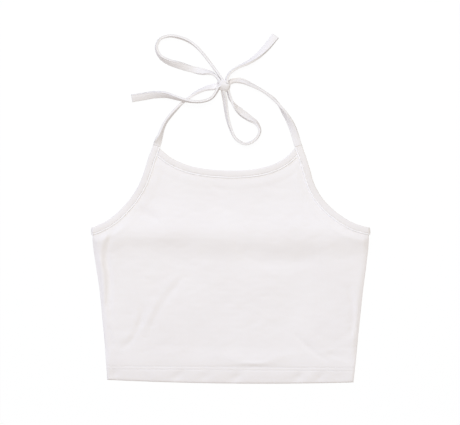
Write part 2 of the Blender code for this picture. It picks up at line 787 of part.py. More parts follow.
def main():
    clear_scene()
    front = Front()
    steps = [HEM_DEPTH, HEM_DEPTH + HEM_STEP]
    ledges = [-BINDING_WIDTH - 16, -BINDING_WIDTH - 1, 0.5]
    front_lines = [hem_line(depth, PANEL_STEP, EDGE_ROUND + 1) for depth in steps]
    front_lines += [back_edge_line(lift, PANEL_STEP) for lift in ledges]
    front_lines += lip_lines()
    back_lines = [hem_line(depth, BACK_STEP, EDGE_ROUND + 1) for depth in steps]
    back_lines += [back_edge_line(lift, BACK_STEP / 2) for lift in ledges[:2]]
    panel(
        "front_panel",
        front_outline(PANEL_STEP),
        front_lines,
        PANEL_STEP,
        front.outer,
        front.inner,
        rounded_up=True,
    )
    panel(
        "back_panel",
        back_outline(BACK_STEP),
        back_lines,
        BACK_STEP,
        back_inner,
        back_outer,
        rounded_up=False,
    )
    neck_binding(front)
    armhole_binding(front)
    knot("knot", 0.0)
    cutter = knot("knot_clearance", SEAM_GAP)
    cutter.hide_render = True
    cutter.display_type = "WIRE"
    stretches = [
        ("left_tie", LEFT_TIE, 1),
        ("right_tie", RIGHT_TIE, 1),
        ("upper_loop", UPPER_LOOP, 1),
        ("lower_loop", LOWER_LOOP, 1),
        ("right_tail", RIGHT_TAIL, 1),
        ("left_tail", LEFT_TAIL, 1),
    ]
    for name, rows, lean in stretches:
        seat_on(tie_stretch(name, rows, lean), cutter)


main()
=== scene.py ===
"""Halter-neck tank top in white cotton jersey, laid flat with its ties in a bow.

The garment lies face up on a floor at z = 0, with its hem towards -Y and its
ties towards +Y, where the CAD model has it. Each cloth piece takes the place
of the solids that stand for it. Lengths below are in millimetres, unless a
property says otherwise.
"""

import math

import bmesh
import bpy
import numpy as np
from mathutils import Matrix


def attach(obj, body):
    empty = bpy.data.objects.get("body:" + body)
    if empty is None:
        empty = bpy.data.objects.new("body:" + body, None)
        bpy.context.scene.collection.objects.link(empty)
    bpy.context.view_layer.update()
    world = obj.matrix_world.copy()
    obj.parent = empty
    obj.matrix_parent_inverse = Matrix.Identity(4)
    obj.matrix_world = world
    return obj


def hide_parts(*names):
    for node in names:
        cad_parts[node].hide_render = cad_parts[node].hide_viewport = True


bl_info = {
    "name": "Halter Neck Tank Top",
    "version": (1, 0, 0),
    "blender": (4, 5, 0),
    "location": "3D View > Sidebar > Halter Top",
    "description": "Makes a jersey halter-neck top with bound edges, laid flat with its ties in a bow",
    "category": "Add Mesh",
}

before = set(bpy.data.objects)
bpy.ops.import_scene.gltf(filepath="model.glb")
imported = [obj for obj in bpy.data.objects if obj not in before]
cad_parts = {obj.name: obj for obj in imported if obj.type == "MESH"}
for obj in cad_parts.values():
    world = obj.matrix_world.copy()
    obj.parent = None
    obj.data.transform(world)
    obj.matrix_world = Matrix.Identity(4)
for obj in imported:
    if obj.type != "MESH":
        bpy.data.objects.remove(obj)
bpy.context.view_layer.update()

MM = 0.001

# Cloth and seams, as in the CAD model
CLOTH = 1.0
SEAM_GAP = 0.3
BINDING_WIDTH = 9.8
BINDING_LAYER = CLOTH + SEAM_GAP
BINDING_THICK = 3 * CLOTH + 2 * SEAM_GAP
BINDING_GIRTH = 2 * BINDING_WIDTH + 3  # what shows of the strip, all round
EDGE_INSET = 1.6  # from a binding's fold to the cut edge inside it
LIMB_INNER = CLOTH / 2 + SEAM_GAP  # from the panel's middle to the strip
LIMB_OUTER = LIMB_INNER + CLOTH
LIMB_TOP = 1.46  # the strip is pressed thinner on the side that shows
LIP_TO_STITCH = 2.1  # from a binding's lip to its row of stitches
STITCH_SUNK = 0.42  # how deep those stitches lie in their groove
WRAP_THICK = 2.6  # a wrap of the knot
THINNEST = 0.3  # no panel is pressed thinner than this

# The front's shape, seen from above
HEM_LEFT, HEM_MIDDLE, HEM_RIGHT = -97.0, -101.8, -100.4
HEM_SEAM_LEFT, HEM_SEAM_RIGHT = -79.0, -81.6  # the upper row of stitches
HEM_SEAM_ENDS = (-158.0, 158.5)
HEM_ROWS_APART = 3.9
HEM_HALF = 8.0  # from the hem's edge to about the middle of its turned-up part
SIDE_TOP = 99.4
NECK_CENTRE, NECK_LOW, NECK_RISE = 3.0, 174.6, 26.4
NECK_REACH_LEFT, NECK_REACH_RIGHT = 92.0, 78.0
NECK_ROUND = 0.55
NECK_ENDS = (-99.0, 93.0)  # how far its line is carried on under the ties
ARM_TOPS = {-1: 208.4, 1: 212.4}  # where the left and right bindings end
BACK_EDGE_SIDE, BACK_EDGE_MIDDLE = 101.0, 97.0
BACK_SEAM_END = 174.0
TURN_LEFT, TURN_RIGHT = 177.4, 177.8  # where the long binding turns to the back

# How the front lies: how far it floats, and the fold over the back's top edge
LOFT = 1.1
CREST, CREST_BELOW, CREST_SPREAD = 1.8, 5, 16

# A binding's end and its tie's start slope alike, so that one laps over the
# other: this far along the strip for each millimetre of height
JOINT_SLANT = 0.6

# The grids: the spans that their spacing is worked out over, and their steps
PANEL_WIDE, FRONT_HIGH, BACK_HIGH = 340.0, 341.0, 196.0
CLOSE_END = 22.0  # rows are close together by the hem's stitches, up to here
BAND_STEP, TURN_STEP = 1.4, 0.8

# Finishes, the painted highlight along the bindings' lips, and stage, that stay as they are
STRIP_RELIEF = 0.10  # the knit's relief on a pressed strip, as a share
LIP_HIGHLIGHT_WIDTH = 0.0014  # how wide the painted highlight along a binding's lip is, in metres
# the colour of the painted highlight along a binding's lip
LIP_HIGHLIGHT_COLOUR = (0.925, 0.900, 0.905, 1.0)
FLOOR_REACH, FLOOR_GLOW = 12.0, 0.93


def table(columns, *rows):
    """A short table of rows, as a dictionary of its named columns."""
    return dict(zip(columns.split(), np.array(rows, float).T, strict=True))


# How far out the side seams and the armholes' bound edges are at each height
SIDE_SEAM = table(
    "height left right",
    (-102.0, 159.8, 159.4),
    (-60.0, 162.7, 164.0),
    (-20.0, 166.3, 168.0),
    (20.0, 170.2, 172.3),
    (56.0, 175.6, 177.0),
    (78.0, 178.6, 179.2),
    (90.0, 178.9, 179.4),
    (102.0, 178.7, 179.1),
)

ARMHOLE = table(
    "height left right",
    (101.2, 177.4, 177.8),
    (105.4, 168.6, 162.9),
    (109.4, 160.8, 154.4),
    (117.0, 150.5, 142.6),
    (128.7, 138.6, 128.4),
    (144.3, 126.2, 115.7),
    (160.0, 117.4, 107.9),
    (175.5, 111.6, 103.5),
    (191.0, 107.0, 98.6),
    (202.8, 102.4, 94.6),
    (213.0, 99.0, 91.4),
)

# The front's creases: each runs from its start through its middle to its end.
# A height above zero is a ridge, one below zero a trough.
CREASES = table(
    "x0 y0 x1 y1 x2 y2 height width",
    (-154, 106, -166.0, 78, -169.0, 48, 1.1, 3.0),
    (-168.5, 61, -164.4, 29, -167, -3, 1.6, 3.0),
    (-148, 104, -159.0, 77, -161.5, 48, -1.0, 3.8),
    (-161.5, 61, -157.2, 29, -160, -3, -1.3, 3.8),
    (-158, 6, -156, -7, -155, -18, -0.7, 3.0),
    (-66, 42, -93, 6, -112, -34, 0.36, 5.4),
    (-60, 38, -88, 2, -107, -36, -0.52, 4.6),
    (-114, 4, -120, -32, -141, -57, -0.70, 3.8),
    (-120, 2, -127, -30, -146, -50, 0.35, 4.5),
    (-96, 12, -108, -20, -126, -44, 0.3, 5.4),
    (153, 22, 159, -6, 156, -42, -0.8, 3.8),
    (84, -38, 112, -64, 146, -84, -0.75, 3.6),
    (96, -34, 122, -54, 152, -70, 0.4, 6.5),
    (8, 74, 62, 60, 124, 70, -1.1, 12.0),
    (-134, 82, -90, 76, -36, 86, -0.7, 9.0),
    (-134, 130, -113, 120, -92, 108, -0.9, 4.8),
    (-126, 137, -106, 129, -86, 119, 0.45, 4.8),
    (-159, -28, -156, -42, -154, -58, -0.7, 2.6),
    (9, 100, 8, 86, 9, 72, -0.3, 3.0),
    (-40, 168, -24, 156, -8, 150, -0.24, 3.6),
    (-34, 158, -20, 147, -4, 142, 0.22, 4.0),
    (40, 160, 56, 152, 76, 154, -0.24, 3.6),
    (46, 150, 62, 142, 80, 144, 0.22, 4.0),
    (113, 88, 115, 34, 113, -22, -0.16, 2.6),
    (-34, -77, 20, -76.4, 72, -78, 0.8, 2.4),
    (-120, -77, -80, -72, -42, -76, 0.25, 3.4),
    (124, -64, 146, -68, 162, -74, -1.0, 5.0),
)

# The turned-up hem's own unevenness: where, how slanted, how wide and how high
HEM_LUMPS = table(
    "middle lean reach height",
    (-152, 0.40, 7.0, -0.76),
    (-96, -0.30, 9.0, 0.36),
    (-70, 0.80, 7.0, -0.99),
    (-34, 0.60, 7.0, -0.65),
    (-20, 0.20, 8.0, 0.36),
    (7, 0.40, 7.0, -1.08),
    (22, -0.25, 8.0, 0.43),
    (60, 0.25, 10.0, 0.29),
    (88, 0.30, 7.0, -1.30),
    (102, -0.20, 6.0, 0.50),
    (116, 0.45, 6.0, -0.87),
    (140, 0.25, 9.0, -0.54),
)

# The ties, as rows along each stretch: its middle line, how far its lowest
# edge is above the floor, how far it leans (0 flat, 90 on edge) and its width
TIE_COLUMNS = "x y rise tilt width"
LEFT_TIE = table(
    TIE_COLUMNS,
    (-96.3, 205.8, 0.2, 0, 9.6),
    (-95.2, 209.2, 0.2, 8, 10.0),
    (-93.6, 213.6, 0.1, 32, 10.2),
    (-91.8, 218.2, 0.1, 50, 10.2),
    (-89.4, 225.6, 0.1, 66, 10.0),
    (-85.6, 235.2, 0.1, 78, 10.0),
    (-75.0, 249.4, 0.1, 82, 10.0),
    (-57.9, 266.4, 0.1, 92, 8.2),
    (-42.3, 276.9, 0.1, 108, 8.6),
    (-32.0, 281.2, 0.1, 124, 8.6),
    (-24.0, 283.2, 0.2, 150, 8.8),
    (-13.0, 285.0, 0.4, 172, 8.4),
)
RIGHT_TIE = table(
    TIE_COLUMNS,
    (88.6, 205.6, 0.2, 0, 9.6),
    (86.9, 210.6, 0.2, -3, 10.0),
    (84.4, 219.0, 0.1, -14, 10.2),
    (79.0, 233.8, 0.1, -36, 10.0),
    (69.6, 250.0, 0.1, -62, 10.0),
    (58.5, 265.2, 0.1, -103, 10.0),
    (43.6, 276.9, 0.1, -100, 10.0),
    (28.0, 285.4, 0.1, -110, 10.0),
    (12.4, 291.4, 0.1, -126, 9.4),
    (4.0, 291.4, 0.3, -124, 8.8),
    (-5.6, 286.2, 1.0, -118, 8.0),
)
UPPER_LOOP = table(
    TIE_COLUMNS,
    (-8.0, 288.2, 3.4, 90, 9.6),
    (-12.5, 295.2, 2.6, 88, 9.8),
    (-24.7, 312.0, 0.8, 88, 10.0),
    (-36.4, 327.2, 0.2, 91, 10.0),
    (-50.0, 340.2, 0.1, 95, 10.0),
    (-65.7, 347.4, 0.1, 94, 10.0),
    (-81.3, 349.2, 0.1, 88, 10.0),
    (-91.2, 345.4, 0.1, 84, 10.0),
    (-96.1, 334.6, 0.1, 84, 10.0),
    (-91.6, 323.4, 0.1, 76, 10.0),
    (-81.3, 316.2, 0.1, 56, 10.0),
    (-65.7, 311.2, 0.1, 30, 10.2),
    (-50.0, 306.4, 0.1, 4, 9.0),
    (-36.0, 303.2, 0.4, -30, 9.0),
    (-25.7, 301.6, 1.0, -58, 8.4),
    (-18.6, 297.0, 2.4, -84, 8.4),
    (-13.8, 290.4, 4.0, -92, 9.2),
)
LOWER_LOOP = table(
    TIE_COLUMNS,
    (-9.5, 284.0, 2.6, 66, 9.0),
    (-9.4, 276.4, 2.0, 62, 9.0),
    (-7.5, 268.0, 1.0, 60, 9.4),
    (-6.0, 256.0, 0.2, 70, 10.0),
    (-3.4, 241.0, 0.1, 80, 10.0),
    (0.3, 229.0, 0.1, 86, 10.0),
    (6.6, 216.4, 0.1, 92, 10.0),
    (19.4, 209.4, 0.1, 94, 10.0),
    (32.0, 214.8, 0.1, 88, 10.0),
    (38.0, 226.6, 0.1, 84, 10.0),
    (34.4, 235.4, 0.1, 74, 10.0),
    (24.0, 242.8, 0.1, 48, 10.2),
    (14.0, 250.2, 0.1, 36, 10.2),
    (5.2, 259.4, 0.2, 66, 10.0),
    (-0.2, 268.2, 0.8, 96, 9.6),
    (-2.6, 276.6, 1.8, 98, 9.4),
    (-3.6, 284.0, 2.6, 92, 9.4),
)
RIGHT_TAIL = table(
    TIE_COLUMNS,
    (-4.8, 287.2, 5.6, 96, 9.0),
    (-4.7, 292.6, 5.0, 96, 9.0),
    (-1.6, 299.6, 3.6, 98, 9.4),
    (8.2, 307.8, 1.8, 101, 9.8),
    (20.2, 313.4, 0.6, 114, 10.0),
    (32.5, 321.2, 0.1, 130, 10.0),
    (45.4, 333.2, 0.1, 146, 10.2),
    (58.7, 349.8, 0.1, 166, 10.2),
)
LEFT_TAIL = table(
    TIE_COLUMNS,
    (-11.0, 284.6, 5.4, 110, 8.4),
    (-15.6, 281.6, 5.6, 100, 8.4),
    (-18.4, 276.6, 6.0, 96, 8.4),
    (-24.6, 268.6, 7.4, 96, 8.4),
    (-37.0, 264.0, 8.8, 97, 8.4),
    (-49.0, 263.8, 9.4, 101, 8.4),
    (-58.6, 265.4, 9.4, 108, 8.4),
    (-70.0, 268.6, 8.0, 114, 9.0),
    (-83.9, 272.6, 4.6, 126, 9.8),
    (-99.5, 272.9, 1.2, 146, 10.0),
    (-113.0, 270.9, 0.1, 158, 10.2),
    (-128.2, 268.4, 0.1, 168, 10.2),
)

# The knot's wraps: the middle of each, half its size across and upwards, its
# width along the bundle, how it is turned and slanted, in degrees, where its
# ridge lies across its width (1 is its far edge), and how much it falls away
# from the ridge
KNOT_WRAPS = table(
    "x y z across up width turn slant ridge fall",
    (-9.4, 289.4, 6.6, 7.6, 6.6, 5.0, -16, 9, 0.0, 0.20),
    (-8.2, 284.1, 7.0, 8.2, 7.9, 12.6, -10, -5, 0.30, 0.60),
)


def ramp(value, start, end):
    """Smooth step from 0 at start to 1 at end: t squared times 3 less 2t."""
    t = np.clip((value - start) / (end - start), 0, 1)
    return t * t * (3 - 2 * t)


def bell(offset, width):
    """A bell curve, 1 in the middle and 1/e at one width from it."""
    return np.exp(-((offset / width) ** 2))


def eased(at, knots, values):
    """A cubic through the rows (knots, values), with each slope taken from the rows beside it."""
    at = np.asarray(at, float)
    slopes = np.gradient(values, knots)
    i = np.clip(np.searchsorted(knots, at, side="right") - 1, 0, len(knots) - 2)
    step = knots[i + 1] - knots[i]
    t = np.clip((at - knots[i]) / step, 0, 1)
    return (
        (2 * t**3 - 3 * t**2 + 1) * values[i]
        + (t**3 - 2 * t**2 + t) * step * slopes[i]
        + (3 * t**2 - 2 * t**3) * values[i + 1]
        + (t**3 - t**2) * step * slopes[i + 1]
    )


def length_along(line):
    """Distance from a line's start to each of its points, in plan."""
    steps = np.linalg.norm(np.diff(line[:, :2], axis=0), axis=1)
    return np.concatenate([[0], np.cumsum(steps)])


def smooth_line(points, step):
    """Points about step apart along the smooth curve through the given ones.

    Columns after the first two are carried along.
    """
    points = np.asarray(points, float)
    knots = length_along(points)
    fine_at = np.linspace(0, knots[-1], int(knots[-1] * 5) + 2)
    fine = np.stack([eased(fine_at, knots, column) for column in points.T], axis=1)
    along = length_along(fine)
    stations = np.linspace(0, along[-1], max(2, round(along[-1] / step) + 1))
    return np.stack([np.interp(stations, along, column) for column in fine.T], axis=1)


def unit_rows(vectors):
    """The rows of an array of vectors, each made one long."""
    return vectors / np.linalg.norm(vectors, axis=1)[:, None]


def way_along(line):
    """Unit vectors along a line in plan."""
    return unit_rows(np.gradient(line[:, :2], axis=0))


def left_normals(line):
    """Unit vectors square to a line in plan, to the left of its direction."""
    along = way_along(line)
    return np.stack([-along[:, 1], along[:, 0]], axis=1)


def distance_to(line, x, y):
    """How far each point (x, y) is in plan from a line: the least distance to its segments."""
    start, span = line[:-1, :2], np.diff(line[:, :2], axis=0)
    off_x = np.asarray(x, float)[..., None] - start[:, 0]
    off_y = np.asarray(y, float)[..., None] - start[:, 1]
    square = (span**2).sum(axis=1)
    t = np.clip((off_x * span[:, 0] + off_y * span[:, 1]) / square, 0, 1)
    apart = np.hypot(off_x - t * span[:, 0], off_y - t * span[:, 1])
    return apart.min(axis=-1)


def hem_edge(x):
    """The hem's height: a parabola through its left, middle and right ends."""
    across = np.asarray(x, float) / SIDE_SEAM["left"][0]
    tilt = (HEM_RIGHT - HEM_LEFT) / 2
    sag = (HEM_RIGHT + HEM_LEFT) / 2 - HEM_MIDDLE
    return HEM_MIDDLE + tilt * across + sag * across**2


def hem_line(left, right):
    """The hem's edge in plan, between two values of x."""
    x = np.linspace(left, right, 200)
    return np.stack([x, hem_edge(x)], axis=1)


def hem_seam(x):
    """Height of the hem's upper row of stitches, a straight line."""
    across = np.asarray(x, float) / (2 * SIDE_SEAM["left"][0]) + 0.5
    return HEM_SEAM_LEFT + (HEM_SEAM_RIGHT - HEM_SEAM_LEFT) * across


def back_edge(x):
    """Height of the back's bound top edge, a shallow parabola."""
    across = np.asarray(x, float) / TURN_LEFT
    return BACK_EDGE_MIDDLE + (BACK_EDGE_SIDE - BACK_EDGE_MIDDLE) * across**2


def neck_edge(x):
    """Height of the bound neckline.

    It is a parabola that steepens towards the ties, then runs on straight
    under them.
    """
    off = np.asarray(x, float) - NECK_CENTRE
    share = np.abs(off) / np.where(off < 0, NECK_REACH_LEFT, NECK_REACH_RIGHT)
    open_share = np.minimum(share, 1)
    curve = NECK_ROUND * open_share**2 + (1 - NECK_ROUND) * open_share**5
    slope = 2 * NECK_ROUND + 5 * (1 - NECK_ROUND)
    return NECK_LOW + NECK_RISE * (curve + slope * (share - open_share))


def side_x(height, side):
    """X of the side seam at a height. The side is -1 for left and 1 for right."""
    column = SIDE_SEAM["left" if side < 0 else "right"]
    return side * eased(height, SIDE_SEAM["height"], column)


def from_sides(x, y):
    """How far a point is in from the nearer side seam, along a level line."""
    return np.minimum(x - side_x(y, -1), side_x(y, 1) - x)


def armhole_line(side, step):
    """The armhole's bound edge in plan, from the underarm up to the tie."""
    out = side * ARMHOLE["left" if side < 0 else "right"]
    return smooth_line(np.stack([out, ARMHOLE["height"]], axis=1), step)


def neck_line(step):
    """The neckline's bound edge in plan, from left to right, carried on under the ties."""
    x = np.linspace(*NECK_ENDS, 97)
    return smooth_line(np.stack([x, neck_edge(x)], axis=1), step)


# The front's bound edges, as coarse lines to measure distances from
BOUND_EDGES = [armhole_line(-1, 6.0), armhole_line(1, 6.0), neck_line(6.0)]


def crease_relief(x, y):
    """The sum of the creases.

    Each is a bell-shaped ridge or trough on a curved line, faded out at its
    ends.
    """
    relief = np.zeros(np.broadcast(x, y).shape)
    t = np.linspace(0, 1, 13)
    for x0, y0, x1, y1, x2, y2, height, width in zip(*CREASES.values(), strict=True):
        bend_x, bend_y = 2 * x1 - (x0 + x2) / 2, 2 * y1 - (y0 + y2) / 2
        line = np.stack(
            [
                (1 - t) ** 2 * x0 + 2 * t * (1 - t) * bend_x + t**2 * x2,
                (1 - t) ** 2 * y0 + 2 * t * (1 - t) * bend_y + t**2 * y2,
            ],
            axis=1,
        )
        off_middle = np.hypot(x - x1, y - y1) / (0.6 * math.hypot(x2 - x0, y2 - y0))
        fade = 1 - ramp(off_middle, 0.55, 1.0)
        relief += height * fade * bell(distance_to(line, x, y), width)
    return relief


def slack_relief(x, y):
    """The cloth's slow unevenness: a sum of four plane waves, unlike in length and direction."""
    return (
        0.20 * np.sin(x / 23 + y / 41 + 0.7)
        + 0.16 * np.sin(x / 37 - y / 19 + 2.1)
        + 0.12 * np.sin(-x / 13 + y / 29 + 4.0)
        + 0.08 * np.sin(x / 9 + y / 11 + 1.3)
    )


def fine_relief(x, y):
    """Small wrinkles, mostly level.

    They are a sum of many low plane waves of seeded lengths and directions,
    stronger and weaker in slow patches.
    """
    seeded = np.random.default_rng(11)
    relief = np.zeros(np.broadcast(x, y).shape)
    for _ in range(26):
        period = seeded.uniform(7.0, 22.0)
        lean = seeded.normal(-0.12, 0.42)
        phase = seeded.uniform(0, 2 * math.pi)
        across = x * math.sin(lean) + y * math.cos(lean)
        bent = across + 2.2 * np.sin(x / seeded.uniform(26, 60) + phase)
        relief += 0.0015 * period * np.sin(2 * math.pi * bent / period + phase)
    patches = 0.65 + 0.35 * np.sin(x / 31 + y / 53 + 0.4) * np.sin(y / 27 - x / 71 + 1.9)
    return relief * patches


def from_bound_edges(x, y):
    """Distance to the nearest bound edge of the front."""
    return np.min([distance_to(line, x, y) for line in BOUND_EDGES], axis=0)


def front_support(x, y):
    """Top of what lies under the front or under its binding, with the seam gap.

    It climbs onto the binding of the back's top edge, falls away above it, and
    rises over the back's hem.
    """
    over_back = CLOTH + SEAM_GAP
    over_binding = BINDING_THICK + SEAM_GAP
    above_edge = y - back_edge(x)
    lower = 7 * ramp(x, -20, 40) * (1 - ramp(x, 112, 150))
    climb = ramp(above_edge + lower, -40, -BINDING_WIDTH + 1)
    drop = 1 - ramp(above_edge, -2.0, 48.0)
    hem = 1 - ramp(y - hem_seam(x), 2.5, 28)
    return (over_back + (over_binding - over_back) * climb) * drop + 2 * CLOTH * hem


def hem_reach(x):
    """How far above the hem's stitches the front comes free of its back.

    It does so close by where it droops over them, and further off elsewhere.
    """
    droop = bell(x - 30, 46) + 0.30 * bell(x + 82, 16) + 0.25 * bell(x - 118, 14)
    return 22.0 - 17.8 * np.minimum(droop, 1)


def front_top(x, y):
    """Height of the front's outer face.

    It is its support, the binding's lower layer, one layer of cloth, and how
    far it floats. It floats freely away from the sides, the hem's stitches and
    the bindings.
    """
    from_binding = from_bound_edges(x, y)
    limb = BINDING_LAYER * (1 - ramp(from_binding, BINDING_WIDTH + 2, BINDING_WIDTH + 16))
    free = (
        ramp(from_sides(x, y), 1.0, 6.5)
        * np.clip((y - hem_seam(x) - 0.6) / hem_reach(x), 0, 1) ** 1.4
        * ramp(from_binding, BINDING_WIDTH + 1, BINDING_WIDTH + 12)
    )
    crest = CREST * bell(y - back_edge(x) + CREST_BELOW, CREST_SPREAD)
    float_up = LOFT + crest + crease_relief(x, y) + slack_relief(x, y) + fine_relief(x, y)
    return front_support(x, y) + limb + CLOTH + np.maximum(0, float_up) * free


def back_under(x, y):
    """Height of the back's underside: flat, but lifted by the binding's layer at its top edge."""
    above_edge = y - back_edge(x)
    return BINDING_LAYER * ramp(above_edge, -BINDING_WIDTH - 14, -BINDING_WIDTH - 1)


def seam_groove(above_seam):
    """The dip of the cloth along the hem's two rows of stitches."""
    rows = bell(above_seam, 0.8) + bell(above_seam + HEM_ROWS_APART, 0.8)
    return -0.28 * rows


def round_off(depth, radius):
    """How far a rounded edge falls away at a depth in from it: a quarter circle."""
    inside = np.clip(radius - depth, 0, radius)
    return radius - np.sqrt(radius**2 - inside**2)


def hem_layers(above_seam):
    """Thickness of a panel: one layer of cloth, and two below the hem's stitches."""
    return CLOTH * (2 - ramp(above_seam, 1.0, 2.2))


def hem_ripple(x, above_hem):
    """The hem's fine waves, and its lumps: leaning bells about the hem's middle."""
    from_middle = above_hem - HEM_HALF
    ripple = 0.12 * np.sin(x / 4.1 + 1.2 * np.sin(x / 17)) * (1 - ramp(above_hem, 2, 15))
    for middle, lean, reach, height in zip(*HEM_LUMPS.values(), strict=True):
        off = x - middle - lean * from_middle
        ripple += height * bell(off, reach) * bell(from_middle, 6.5)
    return ripple


def side_pinch(from_side):
    """1 at a side seam, where the panels are pressed together, and 0 further in."""
    return 1 - ramp(from_side, -1.5, 3.6)


def graded(total, edge_steps, step):
    """Values from 0 to total, close together at both ends and a step apart between them."""
    first = np.cumsum([0, *edge_steps])
    middle = np.arange(first[-1] + step, total - first[-1] - step / 2, step)
    return np.concatenate([first, middle, total - first[::-1]])


def patch_grid(left, right, top, bottom, u, v, hold):
    """A grid between four edges in plan.

    Each row runs straight from left to right, and is bent by the bottom edge
    below and the top edge above. The bottom edge's bend is kept up to the
    share hold.
    """
    bend = ramp(v, hold, 1.0)[:, None, None]
    rows_left, rows_right = left[:, None], right[:, None]
    share = u[None, :, None]
    straight = (1 - share) * rows_left + share * rows_right
    low = bottom[None] - ((1 - share) * bottom[None, :1] + share * bottom[None, -1:])
    high = top[None] - ((1 - share) * top[None, :1] + share * top[None, -1:])
    return straight + (1 - bend) * low + bend * high


def along_line(line, shares):
    """Points at shares of a line's length."""
    at = length_along(line)
    return np.stack([np.interp(shares * at[-1], at, c) for c in line[:, :2].T], axis=1)


def side_edge(side):
    """The side seam in plan, from the hem up."""
    height = np.linspace(float(hem_edge(side_x(HEM_MIDDLE, side))), SIDE_TOP, 120)
    return np.stack([side_x(height, side), height], axis=1)


def grid_faces(rows, columns, wrap=False):
    """Quads between neighbours of a grid of points. Wrap joins the last column to the first."""
    index = np.arange(rows * columns).reshape(rows, columns)
    if wrap:
        index = np.concatenate([index, index[:, :1]], axis=1)
    corners = [index[:-1, :-1], index[:-1, 1:], index[1:, 1:], index[1:, :-1]]
    return np.stack(corners, axis=-1).reshape(-1, 4)


def panel_shares(total, edge_steps, step, close_start, close_step):
    """Shares of a panel's length up its sides: graded, and close by the hem's stitches."""
    at = graded(total, edge_steps, step)
    close = np.arange(close_start, CLOSE_END, close_step)
    return np.concatenate([at[at < close_start - 0.2], close, at[at > CLOSE_END + 0.2]]) / total


def place_object(name, data):
    """A new object for its data, linked to the scene."""
    placed = bpy.data.objects.new(name, data)
    bpy.context.scene.collection.objects.link(placed)
    return placed


def new_piece(name, points, faces, uv, material, outward=False):
    """An object for points in millimetres and quads, with a UV map in metres of cloth."""
    mesh = bpy.data.meshes.new(name)
    mesh.vertices.add(len(points))
    mesh.vertices.foreach_set("co", (np.asarray(points) * MM).astype(np.float32).ravel())
    mesh.loops.add(faces.size)
    mesh.loops.foreach_set("vertex_index", faces.astype(np.int32).ravel())
    mesh.polygons.add(len(faces))
    starts = np.arange(0, faces.size, 4, dtype=np.int32)
    mesh.polygons.foreach_set("loop_start", starts)
    mesh.update(calc_edges=True)
    layer = mesh.uv_layers.new(name="cloth")
    layer.data.foreach_set("uv", (uv[faces.ravel()] * MM).astype(np.float32).ravel())
    if outward:
        bm = bmesh.new()
        bm.from_mesh(mesh)
        bmesh.ops.recalc_face_normals(bm, faces=bm.faces)
        bm.to_mesh(mesh)
        bm.free()
    mesh.shade_smooth()
    mesh.materials.append(material)
    piece = place_object(name, mesh)
    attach(piece, "root")
    return piece


def shell_piece(name, outer, inner, material):
    """A wall of cloth between two grids of points, outer above inner."""
    rows, columns = outer.shape[:2]
    count = rows * columns
    top = grid_faces(rows, columns)
    index = np.arange(count).reshape(rows, columns)
    rim = np.concatenate(
        [index[0], index[1:, -1], index[-1, -2::-1], index[-2:0:-1, 0]]
    )
    after = np.roll(rim, -1)
    wall = np.stack([rim, rim + count, after + count, after], axis=1)
    faces = np.concatenate([top, top[:, ::-1] + count, wall])
    points = np.concatenate([outer.reshape(-1, 3), inner.reshape(-1, 3)])
    return new_piece(name, points, faces, points[:, :2], material)


def swept_piece(name, first, second, along, material, slot):
    """A closed strip between two grids of points that share their stations.

    Its ends are closed with a ladder of quads. The UV map runs along the strip
    and round its girth.
    """
    stations, count = first.shape[:2]
    rings = np.concatenate([first, second[:, ::-1]], axis=1)
    faces = grid_faces(stations, 2 * count, wrap=True)
    i = np.arange(count - 1)
    ladder = np.stack([i, 2 * count - 1 - i, 2 * count - 2 - i, i + 1], axis=1)
    far = ladder[:, ::-1] + (stations - 1) * 2 * count
    faces = np.concatenate([faces, ladder, far])
    steps = np.linalg.norm(np.diff(rings, axis=1), axis=2).mean(axis=0)
    around = np.concatenate([[0.0], np.cumsum(steps)])
    uv = np.stack(np.meshgrid(around, along), axis=-1).reshape(-1, 2)
    return new_piece(name, rings.reshape(-1, 3), faces, uv, material, outward=True)


def new_material(name, roughness):
    """A new material, with its node tree and its shader."""
    material = bpy.data.materials.new(name)
    material.use_nodes = True
    shader = material.node_tree.nodes["Principled BSDF"]
    shader.inputs["Roughness"].default_value = roughness
    return material, material.node_tree, shader


def add_node(tree, kind, inputs, **settings):
    """A node with its settings, and each of its inputs given as a value or as a socket to link."""
    node = tree.nodes.new(kind)
    for name, value in settings.items():
        setattr(node, name, value)
    for socket, value in inputs.items():
        if isinstance(value, bpy.types.NodeSocket):
            tree.links.new(value, node.inputs[socket])
        else:
            node.inputs[socket].default_value = value
    return node


def add_noise(tree, place, scale, detail):
    """A noise on a place."""
    inputs = {"Vector": place, "Scale": scale, "Detail": detail}
    return add_node(tree, "ShaderNodeTexNoise", inputs).outputs["Fac"]


def add_tones(tree, factor, dark, light, start=0.0, end=1.0):
    """Tones of one colour, from dark to light as the factor goes from start to end."""
    node = add_node(tree, "ShaderNodeValToRGB", {"Fac": factor})
    ends = zip(node.color_ramp.elements, (start, end), (dark, light))
    for element, position, colour in ends:
        element.position = position
        element.color = (*colour, 1.0)
    return node.outputs["Color"]


